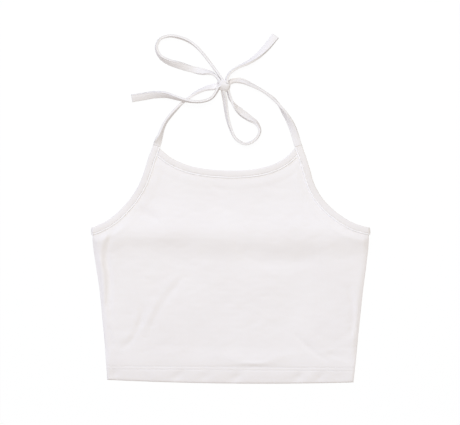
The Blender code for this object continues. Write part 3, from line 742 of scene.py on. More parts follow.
def knit_material(name, colour, roughness, wale, strength, lip=0.0):
    """Fine single jersey.

    It has upright wales and closer courses of loops, a little fuzz, and a slow
    change of tone. Its pattern reads the piece's own UV map, in metres. A band
    of the lip's width, from the upper lip round the girth, is painted whiter: a painted highlight.
    """
    material, tree, shader = new_material(name, roughness)
    shader.inputs["Sheen Weight"].default_value = 0.12
    shader.inputs["Sheen Roughness"].default_value = 0.45
    shader.inputs["Specular IOR Level"].default_value = 0.25
    place = add_node(tree, "ShaderNodeUVMap", {}, uv_map="cloth").outputs["UV"]
    where = add_node(tree, "ShaderNodeTexCoord", {}).outputs["Object"]

    def waves(direction, period, distortion):
        """Bands across one direction of the UV map, a period apart."""
        inputs = {
            "Vector": place,
            "Scale": 2 * math.pi / (20 * period),
            "Distortion": distortion,
            "Detail": 1.0,
            "Detail Scale": 0.6,
        }
        settings = {"wave_type": "BANDS", "bands_direction": direction}
        return add_node(tree, "ShaderNodeTexWave", inputs, **settings).outputs["Fac"]

    def with_share(base, share, added):
        """The base plus a share of what is added."""
        inputs = {0: added, 1: share, 2: base}
        return add_node(tree, "ShaderNodeMath", inputs, operation="MULTIPLY_ADD").outputs["Value"]

    wales = waves("X", wale, 0.8)
    courses = waves("Y", wale * 0.72, 1.4)
    fuzz = add_noise(tree, place, 0.9 / wale, 3.0)
    relief = with_share(with_share(wales, 0.35, courses), 0.8, fuzz)
    bump = add_node(
        tree,
        "ShaderNodeBump",
        {"Strength": strength, "Distance": 0.00018, "Height": relief},
    )
    tree.links.new(bump.outputs["Normal"], shader.inputs["Normal"])

    slow = add_noise(tree, where, 16.0, 2.0)
    dark = [c * f for c, f in zip(colour[:3], (0.972, 0.966, 0.964))]
    tone = add_tones(tree, with_share(slow, 0.10, wales), dark, colour[:3], 0.30, 0.80)
    # A band along the upper lip is painted whiter: a painted highlight, not the cloth's own colour
    if lip:
        across = add_node(tree, "ShaderNodeSeparateXYZ", {"Vector": place}).outputs["X"]
        edge = add_node(
            tree,
            "ShaderNodeMapRange",
            {
                "Value": across,
                "From Min": lip,
                "From Max": lip * 1.35,
                "To Min": 1.0,
                "To Max": 0.0,
            },
        )
        inputs = {"Factor": edge.outputs["Result"], "A": tone, "B": LIP_HIGHLIGHT_COLOUR}
        tone = add_node(tree, "ShaderNodeMix", inputs, data_type="RGBA").outputs["Result"]
    tree.links.new(tone, shader.inputs["Base Color"])
    return material


def thread_material(name, colour):
    """Spun polyester sewing thread, a little glossier than the jersey."""
    material, tree, shader = new_material(name, 0.6)
    where = add_node(tree, "ShaderNodeTexCoord", {}).outputs["Object"]
    twist = add_noise(tree, where, 2400.0, 2.0)
    tone = add_tones(tree, twist, [c * 0.94 for c in colour[:3]], colour[:3])
    tree.links.new(tone, shader.inputs["Base Color"])
    return material


def material_for(scene, kind):
    """The jersey of the panels, the bound edges or the ties, or the thread, made once."""
    found = bpy.data.materials.get(kind)
    if found:
        return found
    looks = scene.halter_looks
    if kind == "spun_thread":
        return thread_material(kind, looks.thread)
    colours = {"panel_knit": looks.jersey, "bound_knit": looks.binding, "strip_knit": looks.ties}
    strength = looks.knit_strength * (1.0 if kind == "panel_knit" else STRIP_RELIEF)
    # the bindings' jersey gets a painted highlight along the upper lip of the strip
    lip = LIP_HIGHLIGHT_WIDTH if kind == "bound_knit" else 0.0
    return knit_material(kind, colours[kind], looks.roughness, looks.wale, strength, lip)


def front_grid():
    """The front's grid in plan, close at its hem and sides.

    Its edges are the hem, the side seams with the armholes' cut edges, and the
    neckline's cut edge.
    """
    cut_neck = neck_line(1.0) - EDGE_INSET * left_normals(neck_line(1.0))
    sides = []
    tips = []
    for side in (-1, 1):
        arm = armhole_line(side, 1.0)
        cut = arm + side * EDGE_INSET * left_normals(arm)
        apart = np.linalg.norm(cut[:, None] - cut_neck[None], axis=2)
        on_arm, on_neck = np.unravel_index(np.argmin(apart), apart.shape)
        tips.append(on_neck)
        sides.append(np.concatenate([side_edge(side), cut[1 : on_arm + 1]]))
    neck = cut_neck[tips[0] : tips[1] + 1]
    hem = hem_line(sides[0][0, 0], sides[1][0, 0])
    u = graded(PANEL_WIDE, [0.35, 0.45, 0.6, 0.8, 1.0], 1.95) / PANEL_WIDE
    hem_steps = [0.3, 0.4, 0.5, 0.7, 1.0, 1.4, 1.6, 1.7, 1.7, 1.2, 0.8]
    v = panel_shares(FRONT_HIGH, hem_steps, 1.85, 11.8, 0.62)
    left, right = (along_line(edge, v) for edge in sides)
    return patch_grid(left, right, along_line(neck, u), along_line(hem, u), u, v, 0.10)


def lay_panel(context, name, node, outer, inner, **resting):
    """A panel of jersey between its two faces, in its solid's place."""
    jersey = material_for(context.scene, "panel_knit")
    piece = shell_piece(name, outer, inner, jersey)
    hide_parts(node)


def lay_front(context):
    """The front.

    Its top face is front_top with the hem's grooves, waves and lumps. Its
    lower face is one layer down, and two in the hem.
    """
    grid = front_grid()
    x, y = grid[..., 0], grid[..., 1]
    above_hem, above_seam = y - hem_edge(x), y - hem_seam(x)
    from_side = np.where(y > SIDE_TOP, 9.0, from_sides(x, y))
    pinch = side_pinch(from_side)
    face = front_top(x, y)
    top = face + seam_groove(above_seam) + hem_ripple(x, above_hem)
    top -= 1.0 * (1 - ramp(above_hem, -6, 16)) + 0.5 * (1 - ramp(above_hem, -2, 4))
    top -= round_off(above_hem, 1.6) + 0.5 * round_off(from_side, 1.2) + 1.1 * pinch
    low = face - hem_layers(above_seam) - 0.55 * pinch
    lowest = 1.3 * ramp(from_side, 0, 4)
    outer = np.stack([x, y, np.maximum(top, lowest + THINNEST)], axis=-1)
    inner = np.stack([x, y, np.maximum(np.minimum(low, top - THINNEST), lowest)], axis=-1)
    under = ["back_cloth", "armhole_band"]
    lay_panel(context, "front_cloth", "front_panel", outer, inner, rests_on=under)


def lay_back(context):
    """The back.

    Its underside is flat with rounded edges. Its upper face is one layer up,
    and two in the hem.
    """
    u = graded(PANEL_WIDE, [0.4, 0.6, 0.9, 1.4], 4.2) / PANEL_WIDE
    v = panel_shares(BACK_HIGH, [0.4, 0.6, 0.9, 1.4, 2.0], 3.2, 13.0, 0.8)
    left, right = (along_line(side_edge(side), v) for side in (-1, 1))
    hem = hem_line(left[0, 0], right[0, 0])
    top_x = np.linspace(left[-1, 0], right[-1, 0], 200)
    top_edge = np.stack([top_x, back_edge(top_x) - EDGE_INSET], axis=1)
    grid = patch_grid(left, right, along_line(top_edge, u), along_line(hem, u), u, v, 0.3)
    x, y = grid[..., 0], grid[..., 1]
    above_hem, above_seam = y - hem_edge(x), y - hem_seam(x)
    from_side = from_sides(x, y)
    flat = back_under(x, y)
    under = flat - seam_groove(above_seam)
    under += 0.7 * round_off(above_hem, 1.4) + 0.6 * round_off(from_side, 0.9)
    upper = flat + hem_layers(above_seam) - 0.2 * round_off(above_hem, 1.2)
    upper -= 0.55 * side_pinch(from_side)
    outer = np.stack([x, y, np.maximum(upper, under + THINNEST)], axis=-1)
    inner = np.stack([x, y, under], axis=-1)
    lay_panel(context, "back_cloth", "back_panel", outer, inner)


def folded_strip(context, name, node, kind, rings, along, flat_width, rests_on):
    """A folded strip through its rings, outside and inside, in its solid's place."""
    jersey = material_for(context.scene, kind)
    piece = swept_piece(name, *rings, along, jersey, "binding_jersey")
    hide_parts(node)


def binding_section():
    """The binding's section, as its outside and its inside.

    Each is a path from the upper lip round the fold to the lower lip, which
    gives the depth in from the cut edge and the height off the panel's middle.
    The outside is a little full, with a groove under the stitches near each
    lip.
    """
    lip = BINDING_WIDTH - EDGE_INSET
    fold_middle = LIMB_OUTER - EDGE_INSET
    lip_runs = [0, 0.1, 0.25, 0.5, 0.9, 1.3, 1.6, 1.8, 1.95, 2.1, 2.25, 2.4, 2.6, 2.9]
    run = np.concatenate([lip_runs, np.linspace(3.4, lip - fold_middle, 14)])
    depth = lip - run
    turn = np.linspace(0, math.pi, 11)[1:-1]

    def path(upper, radius, turn_off, lower):
        """Along the upper limb, round the turn, and back along the lower limb."""
        turn_depth = fold_middle - radius * np.sin(turn)
        return np.concatenate(
            [
                np.stack([depth, upper], axis=1),
                np.stack([turn_depth, turn_off], axis=1),
                np.stack([depth, -lower], axis=1)[::-1],
            ]
        )

    full = 0.22 * np.sin(np.pi * np.clip(run / run[-1], 0, 1)) ** 0.6
    groove = -0.62 * bell(run - LIP_TO_STITCH, 0.30)
    lip_round = -0.50 * bell(run, 0.22)
    upper = LIMB_TOP + full + groove + lip_round
    lower = upper + LIMB_OUTER - LIMB_TOP
    fold_off = np.cos(turn) * np.where(np.cos(turn) > 0, LIMB_TOP, LIMB_OUTER)
    outside = path(upper, LIMB_OUTER, fold_off, lower)
    straight = np.full(len(depth), LIMB_INNER)
    pressed = straight - LIMB_OUTER + LIMB_TOP + 0.14
    inside = path(pressed, LIMB_INNER, LIMB_INNER * np.cos(turn), straight)
    return outside, inside


def puckers(along, depth, off, stitch):
    """Added thickness of a strip.

    Small gathers lie between the stitches near the lip, with uneven longer
    ones among them.
    """
    lip = BINDING_WIDTH - EDGE_INSET
    near_lip = bell(depth - (lip - 1.7), 3.0)
    beat = 0.07 * np.cos(2 * math.pi * along / stitch)
    uneven = 0.13 * np.sin(along / 2.3 + 1.7 * np.sin(along / 9.1))
    return np.sign(off) * near_lip * (beat + uneven * (1 + 0.6 * np.sin(along / 31)))


def flat_band(cut, into, along, paths, stitch):
    """Rings of a binding that lies flat on a panel.

    Cut is its cut edge, and into points into the panel. Points are the edge
    plus depth times into, at the panel's middle plus the section's height.
    """
    made = []
    for path in paths:
        depth, off = path[:, 0], path[:, 1]
        plan = cut[:, None] + into[:, None] * depth[None, :, None]
        base = cut[:, None] + into[:, None] * np.maximum(depth, 0)[None, :, None]
        middle = front_top(base[..., 0], base[..., 1]) - CLOTH / 2
        swell = puckers(along[:, None], depth[None], off[None], stitch)
        swell = swell * (np.abs(off) > LIMB_INNER + 0.05)
        height = np.maximum(middle + off + swell, 0)
        made.append(np.concatenate([plan, height[..., None]], axis=2))
    return made


def lean_rings(rings, paths, way, slant, pivot):
    """Slide rings along their way, by the slant for each millimetre of depth past the pivot."""
    for ring, path in zip(rings, paths):
        ring[..., :2] += way[:, None] * (slant * (path[:, 0] - pivot)[None])[..., None]


def make_neck_band(context):
    """The neckline's binding, which ends under the lips of the armhole bindings."""
    stitch = context.scene.halter_sizes.stitch / MM
    line = neck_line(BAND_STEP)
    cut = line - EDGE_INSET * left_normals(line)
    into = -left_normals(line)
    middle = cut + into * (BINDING_WIDTH / 2 - EDGE_INSET)
    from_arms = np.min([distance_to(e, *middle.T) for e in BOUND_EDGES[:2]], axis=0)
    keep = np.flatnonzero(from_arms > BINDING_WIDTH - 1.0)
    central = keep[np.abs(line[keep, 0] - NECK_CENTRE) < 95]
    span = slice(central[0], central[-1] + 1)
    cut, into = cut[span], into[span]
    along = length_along(cut)
    to_end = along - along[-1]
    paths = binding_section()
    rings = flat_band(cut, into, along, paths, stitch)
    near_ends = bell(along - 15, 15) + bell(to_end + 15, 15)
    gather = near_ends * np.sin(2 * math.pi * along / 4.6 + np.sin(along / 6))
    body = bell(paths[0][:, 0] - 3.4, 3.0) * (paths[0][:, 1] > 0.5)
    rings[0][..., 2] += 0.22 * gather[:, None] * body[None]
    slant = (0.43 * (bell(along, 7.0) - bell(to_end, 7.0)))[:, None]
    lean_rings(rings, paths, way_along(cut), slant, 3.5)
    flatten = (0.30 * (bell(along, 4.0) + bell(to_end, 4.0)))[:, None]
    for ring, path in zip(rings, paths):
        ring[..., 2] -= flatten * np.maximum(path[:, 1], 0)[None]
    names = ("neck_band", "neck_binding", "bound_knit")
    folded_strip(context, *names, rings, along, BINDING_GIRTH, ["front_cloth"])


def make_armhole_band(context):
    """The long binding.

    It runs down the left armhole, round the left side, along the back's top
    edge, round the right side and up the right armhole. At a side the strip
    turns about a level line halfway between the panels.
    """
    paths = binding_section()
    stitch = context.scene.halter_sizes.stitch / MM

    def arm_rings(side, start):
        """Rings along one armhole, which slope at their end by the tie."""
        line = armhole_line(side, BAND_STEP)
        line = line[line[:, 1] < ARM_TOPS[side]]
        into = side * left_normals(line)
        into[0] = (0.0, -1.0)
        cut = line + into * EDGE_INSET
        from_start = length_along(cut)
        from_end = from_start[-1] - from_start
        along = start + (from_end if side < 0 else from_start)
        rings = flat_band(cut, into, along, paths, stitch)
        way = way_along(cut)
        lap = (JOINT_SLANT * bell(from_end, 4.0))[:, None]
        for ring in rings:
            ring[..., 2] *= (1 - 0.05 * bell(from_end, 3.0))[:, None]
            ring[..., :2] += way[:, None] * (lap * (ring[..., 2] - 1.8))[..., None]
        if side < 0:
            return [ring[::-1] for ring in rings], along[::-1]
        slant = 0.6 * ramp(along, along[-1] - 12, along[-1])[:, None]
        lean_rings(rings, paths, way, slant, 4.0)
        return rings, along

    def placed_rings(along, place):
        """Rings whose points are placed by their depth and their height off the middle."""
        rings = []
        for path in paths:
            depth, off = path[:, 0][None], path[:, 1][None]
            swell = puckers(along[:, None], depth, off, stitch)
            rings.append(np.stack(np.broadcast_arrays(*place(depth, off, swell)), axis=-1))
        return rings, along

    def turn_rings(side, start):
        """Rings round half a circle, from the front's middle to the back's."""
        reach = TURN_LEFT if side < 0 else TURN_RIGHT
        edge_y = ARMHOLE["height"][0] - EDGE_INSET
        front_middle = float(front_top(side * reach, edge_y)) - CLOTH / 2
        back_middle = BINDING_THICK / 2
        middle_z = (front_middle + back_middle) / 2
        radius = (front_middle - back_middle) / 2
        angle = np.linspace(0, math.pi, 16)[1:-1]
        angle = angle if side < 0 else angle[::-1]
        along = start + np.arange(1, len(angle) + 1) * TURN_STEP

        def place(depth, off, swell):
            out = (radius + off + swell) * np.sin(angle)[:, None]
            up = (radius + off + swell) * np.cos(angle)[:, None]
            y = BACK_EDGE_SIDE - EDGE_INSET - depth
            return side * (reach + out), y, np.maximum(middle_z + up, 0)

        return placed_rings(along, place)

    def back_rings(start):
        """Rings along the back's top edge: the section, turned upside down."""
        x = np.linspace(-TURN_LEFT, TURN_RIGHT, 180)[:, None]

        def place(depth, off, swell):
            swell = np.where(off > 0, np.minimum(swell, 0), swell)
            y = back_edge(x) - EDGE_INSET - depth
            return x, y, np.maximum(BINDING_THICK / 2 - off - swell, 0.0)

        return placed_rings(start + x[:, 0] - x[0, 0], place)

    parts = [arm_rings(-1, 0.0)]
    parts.append(turn_rings(-1, parts[-1][1][-1]))
    parts.append(back_rings(parts[-1][1][-1] + TURN_STEP))
    parts.append(turn_rings(1, parts[-1][1][-1]))
    parts.append(arm_rings(1, parts[-1][1][-1] + TURN_STEP))
    rings = [np.concatenate([made[k] for made, _ in parts]) for k in (0, 1)]
    along = np.concatenate([a for _, a in parts])
    names = ("armhole_band", "armhole_binding", "bound_knit")
    folded_strip(context, *names, rings, along, BINDING_GIRTH, ["back_cloth", "front_cloth"])


def tie_section(width, thick, along, stitch, open_side):
    """Section of a tie lying flat, for each station, as an upper and a lower path across it.

    The outline is a rounded box: half the thickness times the root of 1 less a
    power of the share across, both of the order boxy. The open side has a
    groove between the turned-in edges, and a dip under the stitches on both
    faces.
    """
    count = 19
    boxy = 4.5
    share = np.sin(np.linspace(-1, 1, count) * math.pi / 2)
    share = 0.55 * share + 0.45 * np.linspace(-1, 1, count)
    half = width[:, None] / 2
    out = share[None] * half
    height = (1 - np.abs(share[None]) ** boxy) ** (1 / boxy) * thick / 2
    to_open = half - open_side * out
    gathers = 0.03 * np.cos(2 * math.pi * along / stitch)
    gathers += 0.06 * np.sin(along / 3.7 + 1.3 * np.sin(along / 11))
    dip = -0.42 * bell(to_open - 1.9, 0.6) + gathers[:, None] * bell(to_open - 2.4, 2.2)
    full = 0.10 * np.cos(share[None] * math.pi / 2) * np.ones_like(half)
    upper = np.maximum(height + dip + full, 0.03)
    lip = np.abs(to_open) < 0.02
    out = np.where(lip, open_side * (half - 1.3), out)
    upper = np.where(lip, 0.08, upper)
    near_lip = (to_open < 0.75) & ~lip
    upper = np.where(near_lip, np.maximum(upper, 0.28 * thick), upper)
    fold = np.abs(to_open - 2 * half) < 0.02
    out = np.where(fold, -open_side * (half - 0.5), out)
    upper = np.where(fold, 0.12, upper)
    return np.stack([out, upper], axis=-1), np.stack([out, -upper], axis=-1)


def make_tie(context, name, node, rows, open_side, rests_on=(), joined=False):
    """A stretch of tie along its rows.

    The section leans by its tilt about the middle line, and is lifted so that
    its lowest point is at its rise. A joined tie laps over a binding's end.
    """
    sizes = context.scene.halter_sizes
    thick = sizes.tie_thick / MM
    line = smooth_line(np.stack(list(rows.values()), axis=1), 1.25)
    along = length_along(line)
    side = left_normals(line)
    wave = 0.22 * np.sin(along / 6.3 + np.sin(along / 17)) * np.sin(along / 41 + 0.6)
    tilt = np.radians(line[:, 3] + 4.0 * np.sin(along / 13 + 1.1))[:, None]
    paths = tie_section(line[:, 4] + wave, thick, along, sizes.stitch / MM, open_side)
    cos, sin = np.cos(tilt), np.sin(tilt)
    turned = [(p[..., 0] * cos - p[..., 1] * sin, p[..., 0] * sin + p[..., 1] * cos) for p in paths]
    lowest = np.minimum(*(up.min(axis=1) for _, up in turned))[:, None]
    lap = JOINT_SLANT * bell(along, 4.0)[:, None] * joined
    rings = []
    for out, up in turned:
        onward = lap * (up - lowest - 1.6)
        x = line[:, :1] + out * side[:, :1] + onward * side[:, 1:2]
        y = line[:, 1:2] + out * side[:, 1:2] - onward * side[:, :1]
        rings.append(np.stack([x, y, line[:, 2:3] + up - lowest], axis=-1))
    flat_width = line[:, 4].mean() + thick
    folded_strip(context, name, node, "strip_knit", rings, along, flat_width, list(rests_on))


def signed_power(value, power):
    """The value's size to a power, with the value's sign."""
    return np.sign(value) * np.abs(value) ** power


def make_knot(context):
    """The knot: two strips wound round the crossing ties, each a flattened ring.

    A ring's point is its middle plus the ellipse across and up, swollen by a
    rounded section along the bundle.
    """
    jersey = material_for(context.scene, "strip_knit")
    around = np.linspace(0, 2 * math.pi, 73)[:-1]
    section = np.linspace(0, 2 * math.pi, 25)[:-1]
    a, s = np.meshgrid(around, section, indexing="ij")
    flat = signed_power(np.cos(s), 0.6)
    over = signed_power(np.sin(s), 0.8) * WRAP_THICK / 2
    for number, row in enumerate(zip(*KNOT_WRAPS.values(), strict=True), start=1):
        x, y, z, across, up, width, turn, slant, ridge, fall = row
        from_ridge = np.where(
            flat > ridge, (flat - ridge) / (1 - ridge), (ridge - flat) / (1 + ridge)
        )
        barrel = 1 - fall * np.sqrt(from_ridge**2 + 0.04) * from_ridge**0.5
        out = across * (0.6 + 0.4 * barrel) - WRAP_THICK / 2 + over
        out *= signed_power(np.cos(a), 0.6)
        high = (up * barrel - WRAP_THICK / 2 + over) * signed_power(np.sin(a), 0.7)
        pinch = 1 - 0.05 * np.cos(2 * a) - 0.03 * np.sin(5 * a)
        length = flat * width / 2 * pinch + math.tan(math.radians(slant)) * out
        cos, sin = math.cos(math.radians(turn)), math.sin(math.radians(turn))
        points = [
            x + out * cos - length * sin,
            y + out * sin + length * cos,
            np.maximum(z + high, 0),
        ]
        points = np.stack(points, axis=-1).reshape(-1, 3)
        faces = grid_faces(len(around), len(section), wrap=True)
        first = np.arange(len(section))
        last = (len(around) - 1) * len(section) + first
        close = np.stack([last, np.roll(last, -1), np.roll(first, -1), first], axis=1)
        faces = np.concatenate([faces, close])
        uv = np.stack([width * s / 3, across * a], axis=-1).reshape(-1, 2)
        name = f"knot_wrap_{number}"
        piece = new_piece(name, points, faces, uv, jersey, outward=True)
        if number == 2:
            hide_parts("knot")


def stitch_mesh(name, rows, length, radius, material):
    """The stitches of some rows, each row with its middles, ways and ups.

    Each stitch is a four-sided spindle along its way, standing on up, with
    pinched ends.
    """
    middles, ways, ups = (np.concatenate(part) for part in zip(*rows))
    shares = np.array([-0.5, -0.32, 0.32, 0.5])
    girths = np.array([0.3, 1.0, 1.0, 0.3]) * radius
    drops = np.array([-0.5, 0.0, 0.0, -0.5]) * radius
    corner = np.array([[1, 0], [0, 1], [-1, 0], [0, -1]], float)
    sides = np.cross(ups, ways)
    along = shares[None, :, None, None] * length * ways[:, None, None]
    across = (girths[:, None] * corner[None, :, 0])[None, ..., None] * sides[:, None, None]
    lift = (girths[:, None] * corner[None, :, 1] + drops[:, None])[None, ..., None]
    points = middles[:, None, None] + along + across + lift * ups[:, None, None]
    base = grid_faces(4, 4, wrap=True)
    ends = np.array([[3, 2, 1, 0], [12, 13, 14, 15]])
    base = np.concatenate([base, ends])
    faces = (base[None] + 16 * np.arange(len(middles))[:, None, None]).reshape(-1, 4)
    points = points.reshape(-1, 3)
    new_piece(name, points, faces, points[:, :2], material, outward=True)


def surface_frame(points, height, step=0.4):
    """Unit normals of a height function at points in plan."""
    x, y = points[:, 0], points[:, 1]
    slope_x = (height(x + step, y) - height(x - step, y)) / (2 * step)
    slope_y = (height(x, y + step) - height(x, y - step)) / (2 * step)
    return unit_rows(np.stack([-slope_x, -slope_y, np.ones_like(x)], axis=1))


def seam_stitches(line, height, stitch):
    """Middles, ways and normals of stitches along a line in plan, on a height function."""
    spots = smooth_line(line, stitch)
    way = np.gradient(spots, axis=0)
    ups = surface_frame(spots, height)
    way = np.concatenate([way, np.zeros((len(way), 1))], axis=1)
    way -= (way * ups).sum(axis=1)[:, None] * ups
    return np.column_stack([spots, height(*spots.T)]), unit_rows(way), ups


def sew_stitches(context):
    """The hem's two rows of stitches, front and back, and the row near the lip of each binding."""
    stitch = context.scene.halter_sizes.stitch / MM
    thread = material_for(context.scene, "spun_thread")
    upside_down = np.array([1, 1, -1])

    # The heights that the stitches stand on, measured downwards on an underside

    def hem_top(px, py):
        return front_top(px, py) + seam_groove(py - hem_seam(px)) + 0.12

    def hem_under(px, py):
        return -back_under(px, py) + seam_groove(py - hem_seam(px)) + 0.1

    def band_top(px, py):
        return front_top(px, py) - CLOTH / 2 + LIMB_TOP - STITCH_SUNK

    def band_under(px, py):
        return 0 * px - STITCH_SUNK

    x = np.linspace(*HEM_SEAM_ENDS, 80)
    rows = []
    for drop in (0.0, HEM_ROWS_APART):
        line = np.stack([x, hem_seam(x) - drop], axis=1)
        rows.append(seam_stitches(line, hem_top, stitch))
        rows.append([part * upside_down for part in seam_stitches(line, hem_under, stitch)])
    stitch_mesh("hem_stitches", rows, stitch * 0.8, 0.26, thread)

    inset = BINDING_WIDTH - LIP_TO_STITCH
    rows = []
    for edge, side, low, high in (
        (neck_line(BAND_STEP), -1, 12.0, -12.0),
        (armhole_line(-1, BAND_STEP), -1, 2.0, -4.0),
        (armhole_line(1, BAND_STEP), 1, 2.0, -4.0),
    ):
        line = edge + side * inset * left_normals(edge)
        at = length_along(line)
        line = line[(at > low) & (at < at[-1] + high)]
        rows.append(seam_stitches(line, band_top, stitch))
    x = np.linspace(-BACK_SEAM_END, BACK_SEAM_END, 60)
    back = np.stack([x, back_edge(x) - inset], axis=1)
    middles, ways, ups = seam_stitches(back, band_under, stitch)
    rows.append((middles * upside_down, ways, -ups))
    stitch_mesh("binding_stitches", rows, stitch * 0.75, 0.22, thread)


def set_stage(context):
    """The floor, the camera straight above, the two lamps and a soft sky."""
    looks = context.scene.halter_looks
    mesh = bpy.data.meshes.new("floor")
    reach = FLOOR_REACH
    corners = [(-reach, -reach), (reach, -reach), (reach, reach), (-reach, reach)]
    mesh.from_pydata([(x, y, -0.0001) for x, y in corners], [], [(0, 1, 2, 3)])
    material, _, shader = new_material("floor_paper", 1.0)
    shader.inputs["Base Color"].default_value = [0.08 * c for c in looks.floor[:3]] + [1.0]
    shader.inputs["Specular IOR Level"].default_value = 0.0
    shader.inputs["Emission Color"].default_value = looks.floor
    shader.inputs["Emission Strength"].default_value = FLOOR_GLOW
    material.cycles.emission_sampling = "NONE"
    mesh.materials.append(material)
    place_object("floor", mesh)

    world = bpy.data.worlds.new("soft_sky")
    world.use_nodes = True
    background = world.node_tree.nodes["Background"]
    background.inputs["Color"].default_value = (1.0, 0.86, 0.77, 1.0)
    background.inputs["Strength"].default_value = looks.sky
    context.scene.world = world

    key = bpy.data.lights.new("key", "AREA")
    key.shape = "DISK"
    key.size = 1.9
    key.energy = looks.key
    key.color = (0.905, 0.97, 0.975)
    lean, turn = math.radians(looks.key_lean), math.radians(looks.key_turn)
    towards = (-math.sin(lean) * math.sin(turn), math.sin(lean) * math.cos(turn), math.cos(lean))
    lamp = place_object("key", key)
    lamp.location = [looks.key_distance * t + c for t, c in zip(towards, (0.0, 0.08, 0.0))]
    lamp.rotation_euler = (-lean, 0, turn)

    cool = bpy.data.lights.new("cool_side", "SUN")
    cool.energy = looks.side_light
    cool.color = (0.42, 0.58, 1.0)
    cool.angle = math.radians(50)
    lamp = place_object("cool_side", cool)
    lamp.location = (-1.0, 1.0, 1.0)
    lamp.rotation_euler = (-math.radians(62), 0, math.radians(52))

    camera = bpy.data.cameras.new("overhead")
    camera.sensor_width = 36.0
    camera.sensor_fit = "HORIZONTAL"
    camera.lens = 36.0 * looks.camera_height / looks.view_width
    camera.clip_end = 20.0
    above = place_object("overhead", camera)
    above.location = (looks.view_x, looks.view_y, looks.camera_height)
    context.scene.camera = above
    context.scene.view_settings.view_transform = "Standard"


def a_colour(name, description, default):
    """A colour that can be changed."""
    return bpy.props.FloatVectorProperty(
        name=name,
        description=description,
        default=default,
        size=4,
        min=0.0,
        max=1.0,
        subtype="COLOR",
    )


def a_number(name, description, default, **more):
    """A number that can be changed, with its limits, and its unit or subtype."""
    return bpy.props.FloatProperty(name=name, description=description, default=default, **more)


def a_share(name, description, default):
    """A number from 0 to 1 that can be changed."""
    return a_number(name, description, default, min=0.0, max=1.0, subtype="FACTOR")


def a_length(name, description, default, **more):
    """A length in metres that can be changed."""
    return a_number(name, description, default, unit="LENGTH", **more)


class HalterSizes(bpy.types.PropertyGroup):
    """Sizes of the sewing"""

    stitch: a_length("Stitch", "Distance from one stitch to the next", 0.0028, min=0.001)
    tie_thick: a_length(
        "Tie thickness", "Thickness of a tie's four layers together", 0.0034, min=0.001
    )


class HalterLooks(bpy.types.PropertyGroup):
    """Colours, finishes and lighting"""

    jersey: a_colour("Jersey", "Colour of the front and back", (0.868, 0.830, 0.824, 1.0))
    binding: a_colour("Binding", "Colour of the bound edges", (0.826, 0.786, 0.773, 1.0))
    ties: a_colour("Ties", "Colour of the ties and the knot", (0.824, 0.789, 0.782, 1.0))
    thread: a_colour("Thread", "Colour of the stitches", (0.90, 0.88, 0.885, 1.0))
    floor: a_colour("Floor", "Colour of the floor", (0.99, 0.99, 0.99, 1.0))
    roughness: a_share("Roughness", "Roughness of the jersey", 0.92)
    wale: a_length("Wale", "Width of one column of loops", 0.0009, min=0.0003)
    knit_strength: a_share("Knit relief", "Strength of the loops' relief", 0.35)
    sky: a_number("Sky", "Strength of the light from all round", 0.36, min=0.0)
    key: a_number(
        "Key light", "Power of the light from beyond the ties, in watts", 37.7, min=0.0
    )
    side_light: a_number(
        "Side light", "Strength of the cool low light from the upper left", 0.78, min=0.0
    )
    key_distance: a_length(
        "Key distance", "Distance of the key light from the garment", 2.1, min=0.5
    )
    key_lean: a_number(
        "Key lean",
        "How far the key light leans from straight above, in degrees",
        16.0,
        min=0.0,
        max=89.0,
    )
    key_turn: a_number(
        "Key turn",
        "How far the key light is turned to the left of the ties, in degrees",
        2.0,
        min=-180.0,
        max=180.0,
    )
    camera_height: a_length("Camera height", "Height of the camera over the floor", 2.4, min=0.5)
    view_width: a_length("View width", "Width of floor that the camera takes in", 0.598, min=0.1)
    view_x: a_length("View middle X", "X of the middle of the view", -0.00065)
    view_y: a_length("View middle Y", "Y of the middle of the view", 0.12025)


class HALTER_OT_set_stage(bpy.types.Operator):
    """Set the floor, the camera and the lights"""

    bl_idname = "halter.set_stage"
    bl_label = "Set the Stage"

    def execute(self, context):
        set_stage(context)
        return {"FINISHED"}


class HALTER_OT_lay_panels(bpy.types.Operator):
    """Lay the back, and the front over it"""

    bl_idname = "halter.lay_panels"
    bl_label = "Lay the Panels"

    def execute(self, context):
        lay_back(context)
        lay_front(context)
        return {"FINISHED"}


class HALTER_OT_bind_edges(bpy.types.Operator):
    """Bind the neckline, the armholes and the back's top edge"""

    bl_idname = "halter.bind_edges"
    bl_label = "Bind the Edges"

    def execute(self, context):
        make_neck_band(context)
        make_armhole_band(context)
        return {"FINISHED"}


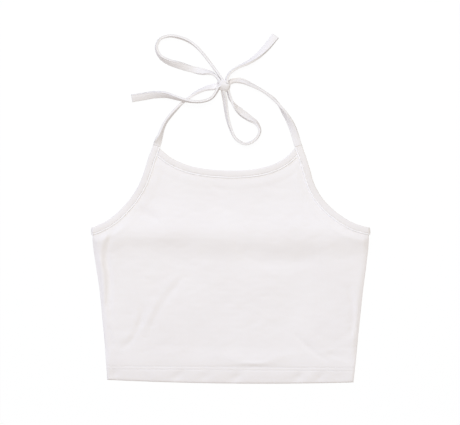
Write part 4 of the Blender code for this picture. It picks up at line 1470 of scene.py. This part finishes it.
class HALTER_OT_tie_bow(bpy.types.Operator):
    """Lay the ties, the bow's loops and its tails, and wind the knot"""

    bl_idname = "halter.tie_bow"
    bl_label = "Tie the Bow"

    def execute(self, context):
        make_tie(context, "left_tie_cloth", "left_tie", LEFT_TIE, -1, joined=True)
        make_tie(context, "right_tie_cloth", "right_tie", RIGHT_TIE, 1, joined=True)
        make_tie(context, "upper_loop_cloth", "upper_loop", UPPER_LOOP, 1)
        make_tie(context, "lower_loop_cloth", "lower_loop", LOWER_LOOP, 1)
        make_tie(context, "right_tail_cloth", "right_tail", RIGHT_TAIL, 1)
        make_tie(context, "left_tail_cloth", "left_tail", LEFT_TAIL, 1, ["left_tie_cloth"])
        make_knot(context)
        return {"FINISHED"}


class HALTER_OT_sew(bpy.types.Operator):
    """Sew the hem and the bindings"""

    bl_idname = "halter.sew"
    bl_label = "Sew the Stitches"

    def execute(self, context):
        sew_stitches(context)
        return {"FINISHED"}


class HALTER_PT_maker(bpy.types.Panel):
    """The top's pieces and values"""

    bl_label = "Halter Top"
    bl_idname = "HALTER_PT_maker"
    bl_space_type = "VIEW_3D"
    bl_region_type = "UI"
    bl_category = "Halter Top"

    def draw(self, context):
        column = self.layout.column()
        for operator in STEPS:
            column.operator(operator.bl_idname)
        for group in (context.scene.halter_sizes, context.scene.halter_looks):
            for name in group.__annotations__:
                column.prop(group, name)


STEPS = (
    HALTER_OT_set_stage,
    HALTER_OT_lay_panels,
    HALTER_OT_bind_edges,
    HALTER_OT_tie_bow,
    HALTER_OT_sew,
)
CLASSES = (HalterSizes, HalterLooks, *STEPS, HALTER_PT_maker)


def register():
    for cls in CLASSES:
        bpy.utils.register_class(cls)
    bpy.types.Scene.halter_sizes = bpy.props.PointerProperty(type=HalterSizes)
    bpy.types.Scene.halter_looks = bpy.props.PointerProperty(type=HalterLooks)


def unregister():
    del bpy.types.Scene.halter_looks
    del bpy.types.Scene.halter_sizes
    for cls in reversed(CLASSES):
        bpy.utils.unregister_class(cls)


def main():
    """Make every piece in order."""
    register()
    bpy.ops.halter.set_stage()
    bpy.ops.halter.lay_panels()
    bpy.ops.halter.bind_edges()
    bpy.ops.halter.tie_bow()
    bpy.ops.halter.sew()


if __name__ == "__main__":
    main()
